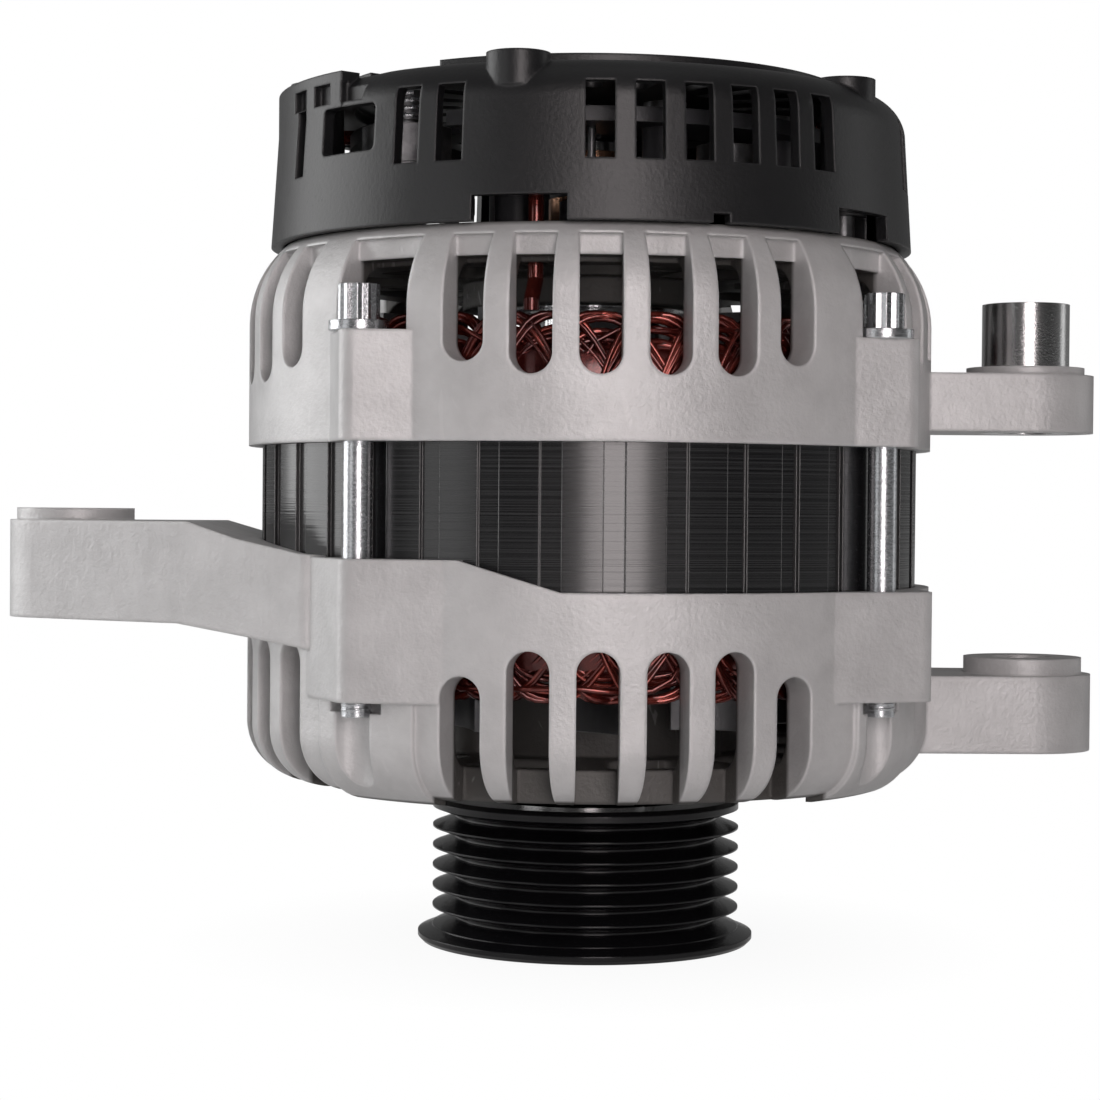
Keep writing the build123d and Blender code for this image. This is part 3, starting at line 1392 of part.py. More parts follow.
# Voltage regulator behind the brush holder, with a finned top and two feet for its screws
regulator_front = holder_back
regulator_back = regulator_front + regulator_depth
regulator_top = holder_top
with BuildPart() as voltage_regulator:
    with BuildSketch(Plane.XY.offset(rear_wall_top)):
        with Locations((0, regulator_front)):
            Rectangle(regulator_width, regulator_depth, align=(Align.CENTER, Align.MIN))
    extrude(amount=regulator_top - rear_wall_top)
    with BuildSketch(Plane.XY.offset(regulator_top)):
        with Locations((0, regulator_front + regulator_depth / 2)):
            with GridLocations(regulator_width / regulator_fin_count, 1, regulator_fin_count, 1):
                Rectangle(regulator_fin_width, regulator_depth)
    extrude(amount=regulator_fin_height)
    with BuildSketch(Plane.XY.offset(rear_wall_top)):
        with Locations(*[(side * regulator_width / 2, regulator_front) for side in (-1, 1)]):
            Rectangle(foot_depth, foot_depth, align=(Align.CENTER, Align.MAX))
    extrude(amount=foot_height)
    with BuildSketch(Plane.XY.offset(rear_wall_top)):
        with Locations(*regulator_screw_spots):
            Circle(cover_screw_radius + fit_gap)
    extrude(amount=foot_height, mode=Mode.SUBTRACT)
voltage_regulator.part.label = "voltage_regulator"
export_step(voltage_regulator.part, "parts/voltage_regulator.step")

with BuildPart() as regulator_screws:
    with BuildSketch(Plane.XY.offset(rear_wall_top - screw_bite)):
        with Locations(*regulator_screw_spots):
            Circle(cover_screw_radius)
    extrude(amount=foot_height + screw_bite)
    with BuildSketch(Plane.XY.offset(rear_wall_top + foot_height)):
        with Locations(*regulator_screw_spots):
            Circle(foot_screw_head_radius)
    extrude(amount=foot_screw_head_height)
regulator_screws.part.label = "regulator_screws"
export_step(regulator_screws.part, "parts/regulator_screws.step")

# Connector: an open plastic shell through the cover's wall, with four flat pins
mouth_width = connector_width - 2 * connector_wall
mouth_height = connector_height - 2 * connector_wall
with BuildPart() as connector_shell:
    with BuildSketch(Plane.XZ.offset(-regulator_back)):
        with Locations((0, connector_middle)):
            RectangleRounded(connector_width, connector_height, connector_corner)
    extrude(amount=-connector_length)
    with BuildSketch(Plane.XZ.offset(-regulator_back - connector_floor)):
        with Locations((0, connector_middle)):
            RectangleRounded(mouth_width, mouth_height, connector_corner - 1)
    extrude(amount=-connector_length, mode=Mode.SUBTRACT)
    with BuildSketch(Plane.XZ.offset(-regulator_back)):
        with Locations((0, connector_middle)):
            with GridLocations(pin_pitch, 1, pin_count, 1):
                Rectangle(pin_width, pin_thickness)
    extrude(amount=-connector_floor - 1, mode=Mode.SUBTRACT)
connector_shell.part.label = "connector_shell"
export_step(connector_shell.part, "parts/connector_shell.step")

with BuildPart() as connector_pins:
    with BuildSketch(Plane.XZ.offset(-regulator_back)):
        with Locations((0, connector_middle)):
            with GridLocations(pin_pitch, 1, pin_count, 1):
                Rectangle(pin_width, pin_thickness)
    extrude(amount=-pin_length)
connector_pins.part.label = "connector_pins"
export_step(connector_pins.part, "parts/connector_pins.step")

# Rear cover: moulded cap with vents all round, posts for its screws and an opening for the stud
cover_slot_rows = ((-32.3, 2), (1.4, 6), (75.0, 6), (198.0, 9))
cover_slot_angles = [first + cover_slot_pitch * k for first, count in cover_slot_rows for k in range(count)]
corner_start = cover_shoulder_top - cover_corner
corner_middle = cover_corner * cos(radians(45))
inner_corner_middle = (cover_corner - cover_wall) * cos(radians(45))

with BuildPart() as rear_cover:
    with BuildSketch(Plane.XZ):
        with BuildLine():
            Polyline((0, rear_bracket_top), (cover_base_radius, rear_bracket_top),
                     (cover_top_radius, corner_start))
            ThreePointArc(
                (cover_top_radius, corner_start),
                (cover_top_radius - cover_corner + corner_middle, corner_start + corner_middle),
                (cover_top_radius - cover_corner, cover_shoulder_top),
            )
            Polyline(
                (cover_top_radius - cover_corner, cover_shoulder_top),
                (cover_disc_radius, cover_shoulder_top),
                (cover_disc_radius, cover_top),
                (0, cover_top),
                (0, rear_bracket_top),
            )
        make_face()
    revolve(axis=Axis.Z)
    # Bosses on the top edge, one of them with a tapered lower end
    with BuildSketch(Plane.XY.offset(corner_start)):
        with Locations(*[spot(a, cover_post_circle) for a in post_angles]):
            Circle(cover_boss_radius)
    extrude(amount=cover_corner + cover_boss_rise)
    with BuildSketch(Plane.XY.offset(corner_start + cover_boss_tip)):
        with Locations(spot(lone_boss_angle, cover_boss_circle)):
            Circle(cover_boss_radius)
    extrude(amount=cover_corner - cover_boss_tip + cover_boss_rise)
    with Locations((*spot(lone_boss_angle, cover_boss_circle), corner_start + cover_boss_tip / 2)):
        Cone(cover_boss_radius - cover_boss_tip, cover_boss_radius, cover_boss_tip)
    # Square shoulder over the stud's side, with pockets in its face
    with BuildSketch(upright(shoulder_start)) as shoulder:
        with Locations((cover_disc_radius, corner_start - 1)):
            Rectangle(cover_top_radius - cover_disc_radius, cover_corner + 1, align=(Align.MIN, Align.MIN))
        fillet(shoulder.vertices().sort_by_distance((*spot(shoulder_start, 2 * cover_top_radius),
                                                     2 * cover_top))[0], shoulder_corner)
    revolve(axis=Axis.Z, revolution_arc=shoulder_sweep)
    with BuildSketch(*[facing(a, cover_top_radius - pocket_depth) for a in pocket_angles]):
        with Locations((0, cover_shoulder_top - shoulder_corner / 2)):
            Rectangle(pocket_width, pocket_height, align=(Align.CENTER, Align.MAX))
    extrude(amount=5, mode=Mode.SUBTRACT)
    # The hollow inside
    with BuildSketch(Plane.XZ):
        with BuildLine():
            Polyline((0, rear_bracket_top), (cover_base_radius - cover_wall, rear_bracket_top),
                     (cover_top_radius - cover_wall, corner_start))
            ThreePointArc(
                (cover_top_radius - cover_wall, corner_start),
                (cover_top_radius - cover_corner + inner_corner_middle,
                 corner_start + inner_corner_middle),
                (cover_top_radius - cover_corner, cover_shoulder_top - cover_wall),
            )
            Polyline(
                (cover_top_radius - cover_corner, cover_shoulder_top - cover_wall),
                (cover_disc_radius - cover_wall, cover_shoulder_top - cover_wall),
                (cover_disc_radius - cover_wall, cover_top - cover_wall),
                (0, cover_top - cover_wall),
                (0, rear_bracket_top),
            )
        make_face()
    revolve(axis=Axis.Z, mode=Mode.SUBTRACT)
    # Posts down to the bracket, with a sunk hole for each screw
    with BuildSketch(Plane.XY.offset(rear_bracket_top)):
        with Locations(*[spot(a, cover_post_circle) for a in post_angles]):
            Circle(cover_post_radius)
    extrude(amount=cover_height - cover_wall / 2)
    post_top = cover_shoulder_top + cover_boss_rise
    with Locations(*[(*spot(a, cover_post_circle), post_top) for a in post_angles]):
        CounterBoreHole(cover_screw_radius + fit_gap, cover_screw_head_radius + hole_gap,
                        cover_screw_head_height + 1.0, depth=cover_height + 2)
    # Vents in the side
    slot_height = cover_slot_top - cover_slot_bottom
    with BuildSketch(*[facing(a, cover_post_circle - 3) for a in cover_slot_angles]):
        with Locations((0, cover_slot_bottom)):
            Rectangle(cover_slot_width, slot_height, align=(Align.CENTER, Align.MIN))
    extrude(amount=cover_base_radius - cover_post_circle + 4, mode=Mode.SUBTRACT)
    # Large opening beside the stud, a narrow slot beyond it, and notches in the bottom edge
    with BuildSketch(facing(stud_window_angle, cover_post_circle)):
        with Locations((0, stud_window_middle)):
            RectangleRounded(stud_window_width, stud_window_height, 1)
    extrude(amount=10, mode=Mode.SUBTRACT)
    with BuildSketch(facing(side_slot_angle, cover_post_circle)):
        with Locations((0, side_slot_middle)):
            Rectangle(side_slot_width, side_slot_height)
    extrude(amount=10, mode=Mode.SUBTRACT)
    with BuildSketch(facing(-11.7, cover_post_circle), facing(53.8, cover_post_circle)):
        with Locations((0, rear_bracket_top)):
            Rectangle(bottom_notch_width, bottom_notch_height, align=(Align.CENTER, Align.MIN))
    extrude(amount=10, mode=Mode.SUBTRACT)
    with BuildSketch(facing(small_notch_angle, cover_post_circle)):
        with Locations((0, rear_bracket_top)):
            Rectangle(small_notch_width, small_notch_height, align=(Align.CENTER, Align.MIN))
    extrude(amount=10, mode=Mode.SUBTRACT)
    # Opening over the stud, and the opening that the connector passes through
    with BuildSketch(Plane.XY.offset(stud_nut_top)):
        with Locations(stud_place):
            Circle(stud_pad_radius + 1)
    extrude(amount=cover_top - stud_nut_top, mode=Mode.SUBTRACT)
    with BuildSketch(facing(180, cover_post_circle)):
        with Locations((0, connector_middle)):
            RectangleRounded(connector_width + 1, connector_height + 1, connector_corner)
    extrude(amount=10, mode=Mode.SUBTRACT)
    # Air inlets in the raised disc
    with BuildSketch(Plane.XY.offset(cover_shoulder_top - cover_wall - 1)):
        with PolarLocations(0.7 * cover_disc_radius, disc_vent_count):
            SlotOverall(disc_vent_length, disc_vent_width)
    extrude(amount=cover_top, mode=Mode.SUBTRACT)
rear_cover.part.label = "rear_cover"
export_step(rear_cover.part, "parts/rear_cover.step")

# Screws through the cover's posts
cover_screw_seat = post_top - cover_screw_head_height - 1.0
with BuildPart() as cover_screws:
    with BuildSketch(Plane.XY.offset(rear_wall_bottom + 0.5)):
        with Locations(*[spot(a, cover_post_circle) for a in post_angles]):
            Circle(cover_screw_radius)
    extrude(amount=cover_screw_seat - rear_wall_bottom - 0.5)
    with BuildSketch(Plane.XY.offset(cover_screw_seat)):
        with Locations(*[spot(a, cover_post_circle) for a in post_angles]):
            Circle(cover_screw_head_radius)
    extrude(amount=cover_screw_head_height)
cover_screws.part.label = "cover_screws"
export_step(cover_screws.part, "parts/cover_screws.step")
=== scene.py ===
import math
import random
import bmesh
import bpy
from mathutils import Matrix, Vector


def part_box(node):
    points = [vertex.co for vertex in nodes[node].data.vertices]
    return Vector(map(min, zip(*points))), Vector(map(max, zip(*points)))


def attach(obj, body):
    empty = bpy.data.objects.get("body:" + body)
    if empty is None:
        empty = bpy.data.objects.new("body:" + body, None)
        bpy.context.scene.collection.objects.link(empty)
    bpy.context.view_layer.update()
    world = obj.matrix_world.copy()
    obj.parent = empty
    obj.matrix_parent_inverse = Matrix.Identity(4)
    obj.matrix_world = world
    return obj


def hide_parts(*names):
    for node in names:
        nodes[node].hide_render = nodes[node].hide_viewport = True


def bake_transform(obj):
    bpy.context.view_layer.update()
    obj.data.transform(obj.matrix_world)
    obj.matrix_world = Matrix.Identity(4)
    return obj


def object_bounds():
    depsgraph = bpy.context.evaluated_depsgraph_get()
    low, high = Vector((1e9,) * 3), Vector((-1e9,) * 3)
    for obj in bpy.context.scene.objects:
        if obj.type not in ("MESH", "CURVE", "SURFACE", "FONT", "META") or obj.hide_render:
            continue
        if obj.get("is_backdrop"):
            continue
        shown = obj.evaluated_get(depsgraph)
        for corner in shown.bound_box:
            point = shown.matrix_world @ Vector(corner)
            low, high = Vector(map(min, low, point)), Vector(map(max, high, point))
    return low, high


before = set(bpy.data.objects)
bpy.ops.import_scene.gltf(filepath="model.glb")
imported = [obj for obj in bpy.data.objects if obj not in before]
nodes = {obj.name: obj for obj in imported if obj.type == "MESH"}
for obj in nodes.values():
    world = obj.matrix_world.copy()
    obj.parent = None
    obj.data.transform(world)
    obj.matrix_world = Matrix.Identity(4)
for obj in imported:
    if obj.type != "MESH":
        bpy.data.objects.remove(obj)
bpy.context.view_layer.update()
mm = 0.001

# Brackets: two aluminium castings, pressure cast, then blasted all over with glass beads. Only the
# bores, the rims round the core and the rings on top of the lugs are machined after that.


def start_finish(name):
    """New material: gives its node tree and its Principled shader."""
    material = bpy.data.materials.new(name)
    material.use_nodes = True
    tree = material.node_tree
    shader = tree.nodes["Principled BSDF"]
    return material, tree, shader


def put(tree, kind, **values):
    """New node of a kind. Values with plain names are its settings, or its sockets' defaults."""
    node = tree.nodes.new("ShaderNode" + kind)
    for name, value in values.items():
        socket = node.inputs.get(name.replace("_", " "))
        if socket is not None:
            socket.default_value = value
        else:
            setattr(node, name, value)
    return node


def new_group(name, inputs, outputs):
    """Node group for an effect: gives its tree, its input node and its output node."""
    group = bpy.data.node_groups.new(name, "ShaderNodeTree")
    for label, default in inputs.items():
        kind = "NodeSocketVector" if default is None else "NodeSocketFloat"
        socket = group.interface.new_socket(label, in_out="INPUT", socket_type=kind)
        if default is not None:
            socket.default_value = default
    for label, kind in outputs.items():
        group.interface.new_socket(label, in_out="OUTPUT", socket_type=kind)
    return group, group.nodes.new("NodeGroupInput"), group.nodes.new("NodeGroupOutput")


def use_group(tree, group, **values):
    """Place a group in a material with its own values."""
    node = tree.nodes.new("ShaderNodeGroup")
    node.node_tree = group
    for name, value in values.items():
        node.inputs[name.replace("_", " ")].default_value = value
    return node


def blend_colours(tree, mask, first, second):
    """Mix of two colours by a mask, where a colour is a value or a socket."""
    mix = put(tree, "Mix", data_type="RGBA")
    tree.links.new(mask, mix.inputs["Factor"])
    for socket, colour in ((mix.inputs[6], first), (mix.inputs[7], second)):
        if isinstance(colour, bpy.types.NodeSocket):
            tree.links.new(colour, socket)
        else:
            socket.default_value = (*colour, 1)
    return mix.outputs[2]


def spread(tree, value, low, high, to_low=0.0, to_high=1.0):
    """A value moved from one range to another, held at its ends."""
    remap = put(tree, "MapRange")
    tree.links.new(value, remap.inputs["Value"])
    for name, number in (("From Min", low), ("From Max", high), ("To Min", to_low), ("To Max", to_high)):
        remap.inputs[name].default_value = number
    return remap.outputs["Result"]


# Rounded edges: the small radius that every real edge has, and a mask of where it is
edge_group, edge_in, edge_out = new_group(
    "rounded_edges", {"Radius": 0.4 * mm},
    {"Normal": "NodeSocketVector", "Edge": "NodeSocketFloat"})
round_edge = put(edge_group, "Bevel", samples=6)
surface = put(edge_group, "NewGeometry")
edge_dot = put(edge_group, "VectorMath", operation="DOT_PRODUCT")
edge_group.links.new(edge_in.outputs["Radius"], round_edge.inputs["Radius"])
edge_group.links.new(round_edge.outputs["Normal"], edge_dot.inputs[0])
edge_group.links.new(surface.outputs["Normal"], edge_dot.inputs[1])
edge_group.links.new(round_edge.outputs["Normal"], edge_out.inputs["Normal"])
edge_group.links.new(spread(edge_group, edge_dot.outputs["Value"], 0.995, 0.80), edge_out.inputs["Edge"])

# Grain: a fine skin of bumps and a slow change of tone, both in metres on the piece itself
grain_group, grain_in, grain_out = new_group(
    "grain", {"Place": None, "Grain": 1.0 * mm, "Patch": 20.0 * mm},
    {"Height": "NodeSocketFloat", "Tone": "NodeSocketFloat", "Speck": "NodeSocketFloat"})
for label, output, detail in (("Grain", "Height", 4.0), ("Patch", "Tone", 3.0)):
    per_metre = put(grain_group, "Math", operation="DIVIDE")
    per_metre.inputs[0].default_value = 1.0
    grain_group.links.new(grain_in.outputs[label], per_metre.inputs[1])
    cloud = put(grain_group, "TexNoise", Detail=detail, Roughness=0.6)
    grain_group.links.new(grain_in.outputs["Place"], cloud.inputs["Vector"])
    grain_group.links.new(per_metre.outputs[0], cloud.inputs["Scale"])
    cloud_value = cloud.outputs["Fac"]
    grain_group.links.new(spread(grain_group, cloud_value, 0.3, 0.7), grain_out.inputs[output])
    if label == "Grain":
        grain_group.links.new(spread(grain_group, cloud_value, 0.62, 0.72), grain_out.inputs["Speck"])


def skin(tree, shader, grain, patch, edge_radius, depth, strength=1.0):
    """Grain and rounded edges on a shader's normal: gives the tone, the specks and the edge mask."""
    place = put(tree, "TexCoord")
    texture = use_group(tree, grain_group, Grain=grain, Patch=patch)
    edges = use_group(tree, edge_group, Radius=edge_radius)
    bump = put(tree, "Bump", Distance=depth, Strength=strength)
    tree.links.new(place.outputs["Object"], texture.inputs["Place"])
    tree.links.new(texture.outputs["Height"], bump.inputs["Height"])
    tree.links.new(edges.outputs["Normal"], bump.inputs["Normal"])
    tree.links.new(bump.outputs["Normal"], shader.inputs["Normal"])
    return texture.outputs["Tone"], texture.outputs["Speck"], edges.outputs["Edge"]


def finish(name, colour, dark, edge, metallic, roughness, rougher, grain, patch, edge_radius, depth,
           strength=1.0, specular=0.5):
    """A finish with its own tone, dark patches, edge colour and grain."""
    material, tree, shader = start_finish(name)
    tone, speck, edges = skin(tree, shader, grain, patch, edge_radius, depth, strength)
    toned = blend_colours(tree, tone, dark, colour)
    tree.links.new(blend_colours(tree, edges, toned, edge), shader.inputs["Base Color"])
    tree.links.new(spread(tree, speck, 0, 1, roughness, rougher), shader.inputs["Roughness"])
    shader.inputs["Metallic"].default_value = metallic
    shader.inputs["Specular IOR Level"].default_value = specular
    return material


def dress(material, *names):
    """Give a finish to nodes of the frame."""
    for name in names:
        nodes[name].material_slots[0].material = material


cast_aluminium = finish(
    "cast_aluminium", colour=(0.69, 0.685, 0.685), dark=(0.58, 0.575, 0.575), edge=(0.80, 0.795, 0.795),
    metallic=0.3, roughness=0.46, rougher=0.6, grain=0.9 * mm, patch=9 * mm, edge_radius=0.9 * mm,
    depth=0.06 * mm, strength=0.9)
tree = cast_aluminium.node_tree
shader = tree.nodes["Principled BSDF"]
place = put(tree, "TexCoord")
# Inside the rims' radius the walls are painted near black: painted shade of the housing's inside
inner_radius = 54.4 * mm
painted_inner_shade = (0.10, 0.095, 0.09)
flat_place = put(tree, "VectorMath", operation="MULTIPLY")
flat_place.inputs[1].default_value = (1, 1, 0)
tree.links.new(place.outputs["Object"], flat_place.inputs[0])
from_axis = put(tree, "VectorMath", operation="LENGTH")
tree.links.new(flat_place.outputs[0], from_axis.inputs[0])
inner_shade_mask = spread(tree, from_axis.outputs["Value"], inner_radius + 0.6 * mm, inner_radius - 0.4 * mm)
outer_tone = shader.inputs["Base Color"].links[0].from_socket
shaded = blend_colours(tree, inner_shade_mask, outer_tone, painted_inner_shade)
# Small scuffs from handling
scuffs_per_metre = 260.0
scuff_stretch = (1.0, 1.0, 0.35)
scuff_bright = (0.80, 0.79, 0.79)
scuff_share = 0.16
scuffs = put(tree, "TexNoise", Scale=scuffs_per_metre, Detail=2.0, Distortion=1.6)
stretch = put(tree, "Mapping", Scale=scuff_stretch)
tree.links.new(place.outputs["Object"], stretch.inputs["Vector"])
tree.links.new(stretch.outputs[0], scuffs.inputs["Vector"])
scuff_mask = spread(tree, scuffs.outputs["Fac"], 0.675, 0.71, 0.0, scuff_share)
tree.links.new(blend_colours(tree, scuff_mask, shaded, scuff_bright), shader.inputs["Base Color"])
dress(cast_aluminium, "drive_end_bracket", "rear_bracket")

# Stator core: a stack of thin steel sheets, riveted by the bolts' pull and dipped in black varnish,
# which leaves fine lines round it where the sheets meet.
core_black, tree, shader = start_finish("core_steel")
sheet = 0.65 * mm
varnish = (0.008, 0.008, 0.009)
# Lighter colour for the edges of the sheets: a painted highlight
painted_edge_highlight = (0.22, 0.22, 0.22)
place = put(tree, "TexCoord")
split = put(tree, "SeparateXYZ")
tree.links.new(place.outputs["Object"], split.inputs[0])
sheets = put(tree, "TexNoise", Scale=1.0, Detail=2.0, noise_dimensions="1D")
sheet_number = put(tree, "Math", operation="DIVIDE")
tree.links.new(split.outputs["Z"], sheet_number.inputs[0])
sheet_number.inputs[1].default_value = sheet
tree.links.new(sheet_number.outputs[0], sheets.inputs["W"])
edges = use_group(tree, edge_group, Radius=0.3 * mm)
bump = put(tree, "Bump", Distance=0.06 * mm, Strength=0.6)
tree.links.new(sheets.outputs["Fac"], bump.inputs["Height"])
tree.links.new(edges.outputs["Normal"], bump.inputs["Normal"])
tree.links.new(bump.outputs["Normal"], shader.inputs["Normal"])
# The core's edges are painted lighter: painted highlight along the edges
varnish_with_painted_highlight = blend_colours(tree, edges.outputs["Edge"], varnish, painted_edge_highlight)
tree.links.new(varnish_with_painted_highlight, shader.inputs["Base Color"])
shader.inputs["Roughness"].default_value = 0.21
shader.inputs["Specular IOR Level"].default_value = 0.8
dress(core_black, "stator_core")

# Winding: enamelled copper wire wound through the 36 slots in three phases. Each bundle leaves one slot,
# bends over and goes down the slot a pole further on, and the whole is dipped in varnish.
wire_radius = 0.5 * mm
slot_count = 36
slots_per_pole = 3
bundle_rows = 4
bundle_columns = 3
crest_wires = 14
ring_radius = 49.5 * mm
ring_depth = 5.0 * mm
heart_share = 0.56
heart_rim_share = 0.6
heart_top_share = 0.72
heart_sides = 96
crest_steps = 10
pole_rise = (0.0, 0.35, 0.8, 1.06, 1.12, 1.06, 0.8, 0.35, 0.0)
winding_low, winding_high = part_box("stator_winding")
core_low, core_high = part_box("stator_core")


def round_point(radius, angle, height):
    """Point round the shaft's axis, at an angle in radians from the front towards the right."""
    return Vector((radius * math.sin(angle), -radius * math.cos(angle), height))


def lay_wire(curve, points, face, crown):
    """Add a smooth wire through rough places, kept inside the room for the end turns."""
    spline = curve.splines.new("NURBS")
    spline.points.add(len(points) - 1)
    nearest = ring_radius - ring_depth / 2
    furthest = ring_radius + ring_depth / 2
    top = max(face, crown) - wire_radius
    bottom = min(face, crown) + wire_radius
    for place, (radius, angle, level) in zip(spline.points, points):
        held = (min(max(radius, nearest), furthest), angle, min(max(level, bottom), top))
        place.co = (*round_point(*held), 1)
    spline.order_u = 4
    spline.use_endpoint_u = True


def wind_end(name, face, crown, seed):
    """The end turns on one side of the core, from its face out to the crown's height."""
    chance = random.Random(seed)
    curve = bpy.data.curves.new(name, "CURVE")
    curve.dimensions = "3D"
    curve.bevel_depth = wire_radius
    curve.bevel_resolution = 1
    curve.resolution_u = 2
    reach = crown - face
    pole = math.tau * slots_per_pole / slot_count
    for slot in range(slot_count):
        lean = chance.uniform(-0.12, 0.12) * pole
        for wire in range(bundle_rows * bundle_columns):
            row, column = divmod(wire, bundle_columns)
            deep = ((column + 0.5) / bundle_columns - 0.5) * ring_depth + chance.uniform(-0.3, 0.3) * mm
            height = reach * (0.6 + 0.4 * (row + chance.uniform(0.2, 0.8)) / bundle_rows)
            points = []
            for step, share in enumerate(pole_rise):
                along = step / (len(pole_rise) - 1)
                slack = math.sin(math.pi * along)
                radius = ring_radius + deep * math.cos(3 * along) + chance.uniform(-0.25, 0.25) * mm * slack
                angle = math.tau * slot / slot_count + pole * along ** 1.2
                angle += (lean + chance.uniform(-0.015, 0.015)) * slack * (1 - along)
                points.append((radius, angle, face + height * share))
            lay_wire(curve, points, face, crown)
    for wire in range(crest_wires):
        start = chance.uniform(0, math.tau)
        span = chance.uniform(0.7, 1.6)
        deep = chance.uniform(-0.5, 0.5) * ring_depth
        top_share = chance.uniform(0.0, 0.2)
        points = []
        for step in range(crest_steps + 1):
            level = crown - reach * (top_share + chance.uniform(0.0, 0.06))
            if step in (0, crest_steps):
                level = face + reach * 0.2
            radius = ring_radius + deep + chance.uniform(-0.3, 0.3) * mm
            points.append((radius, start + span * step / crest_steps, level))
        lay_wire(curve, points, face, crown)
    return curve


def make_turns(name, curve, face, crown):
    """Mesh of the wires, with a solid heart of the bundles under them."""
    holder = bpy.data.objects.new(name, curve)
    bpy.context.scene.collection.objects.link(holder)
    mesh = bpy.data.meshes.new_from_object(holder.evaluated_get(bpy.context.evaluated_depsgraph_get()))
    bpy.data.objects.remove(holder)
    heart = bmesh.new()
    heart.from_mesh(mesh)
    inner = ring_radius - heart_share * ring_depth / 2
    outer = ring_radius + heart_share * ring_depth / 2
    top = face + heart_top_share * (crown - face)
    rim = face + heart_rim_share * (crown - face)
    section = [heart.verts.new((x, 0, z)) for x, z in
               ((inner, face), (inner, rim), ((inner + outer) / 2, top), (outer, rim), (outer, face))]
    lines = [heart.edges.new(pair) for pair in zip(section, section[1:])]
    bmesh.ops.spin(heart, geom=section + lines, cent=(0, 0, 0), axis=(0, 0, 1), angle=math.tau,
                   steps=heart_sides, use_merge=True)
    sides = [side for side in heart.faces if len(side.verts) == 4]
    bmesh.ops.recalc_face_normals(heart, faces=sides)
    heart.to_mesh(mesh)
    heart.free()
    winding = bpy.data.objects.new(name, mesh)
    bpy.context.scene.collection.objects.link(winding)
    for side in mesh.polygons:
        side.use_smooth = True
    return winding


dark_enamel = (0.12, 0.014, 0.010)
bright_enamel = (0.52, 0.088, 0.058)
burnt_enamel = (0.07, 0.009, 0.008)
copper, tree, shader = start_finish("copper_wire")
wire_piece = put(tree, "NewGeometry")
tone = skin(tree, shader, grain=0.8 * mm, patch=6 * mm, edge_radius=0.1 * mm, depth=0.02 * mm)[0]
per_wire = blend_colours(tree, wire_piece.outputs["Random Per Island"], dark_enamel, bright_enamel)
tree.links.new(blend_colours(tree, tone, burnt_enamel, per_wire), shader.inputs["Base Color"])
shader.inputs["Metallic"].default_value = 0.7
shader.inputs["Roughness"].default_value = 0.22
shader.inputs["Coat Weight"].default_value = 0.8
shader.inputs["Coat Roughness"].default_value = 0.12
rear_wires = wind_end("rear_end_turns", core_high.z, winding_high.z, 3)
front_wires = wind_end("front_end_turns", core_low.z, winding_low.z, 8)
rear_turns = make_turns("rear_end_turns", rear_wires, core_high.z, winding_high.z)
front_turns = make_turns("front_end_turns", front_wires, core_low.z, winding_low.z)
for turns in (rear_turns, front_turns):
    turns.data.materials.append(copper)
    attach(turns, "housing")
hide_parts("stator_winding")
dress(copper, "phase_leads", "field_coil")

# Pale plastic and pressed board: the wedges that close the winding's slots at the bore, the bearings'
# cages, the rear bearing's sleeve and the field coil's bobbin
pale_plastic = finish(
    "pale_plastic", colour=(0.55, 0.52, 0.45), dark=(0.46, 0.43, 0.37), edge=(0.62, 0.59, 0.52),
    metallic=0, roughness=0.5, rougher=0.6, grain=0.5 * mm, patch=8 * mm, edge_radius=0.2 * mm,
    depth=0.02 * mm)
dress(pale_plastic, "slot_wedges", "drive_bearing_cage", "rear_bearing_cage", "rear_bearing_sleeve",
      "field_coil_bobbin")

# Zinc plated steel: the through bolts, the bearings' seals and retainer, and the pulley's nut and washer
zinc = finish(
    "zinc_steel", colour=(0.66, 0.67, 0.69), dark=(0.50, 0.51, 0.53), edge=(0.82, 0.83, 0.84),
    metallic=1.0, roughness=0.26, rougher=0.4, grain=0.6 * mm, patch=5 * mm, edge_radius=0.3 * mm,
    depth=0.02 * mm)
dress(zinc, "through_bolts", "drive_bearing_shields", "rear_bearing_shields", "bearing_retainer",
      "retainer_screws", "lock_washer", "pulley_nut")

# Zinc parts under the cover, painted dark: painted shade of the cover's inside
zinc_in_painted_shade = finish(
    "zinc_in_painted_shade", colour=(0.24, 0.24, 0.245), dark=(0.12, 0.12, 0.125), edge=(0.42, 0.42, 0.42),
    metallic=0.9, roughness=0.38, rougher=0.5, grain=0.6 * mm, patch=3 * mm, edge_radius=0.3 * mm,
    depth=0.02 * mm)
dress(zinc_in_painted_shade, "negative_diodes", "positive_diodes", "rectifier_screws", "output_stud", "output_nut",
      "regulator_screws", "cover_screws")


def cut_thread(shape, centre, low, high, radius, pitch):
    """Add the ridge of a rolled thread, which winds round a shank between two levels."""
    ridge = 0.14 * mm
    steps_per_turn = 20
    turns = (high - low) / pitch - 1
    section = [shape.verts.new(centre + Vector((radius - 0.3 * ridge, 0, low + 0.05 * pitch))),
               shape.verts.new(centre + Vector((radius + ridge, 0, low + 0.5 * pitch))),
               shape.verts.new(centre + Vector((radius - 0.3 * ridge, 0, low + 0.95 * pitch)))]
    lines = [shape.edges.new(pair) for pair in zip(section, section[1:])]
    bmesh.ops.spin(shape, geom=section + lines, cent=centre, axis=(0, 0, 1), angle=math.tau * turns,
                   dvec=(0, 0, pitch / steps_per_turn), steps=round(turns * steps_per_turn))


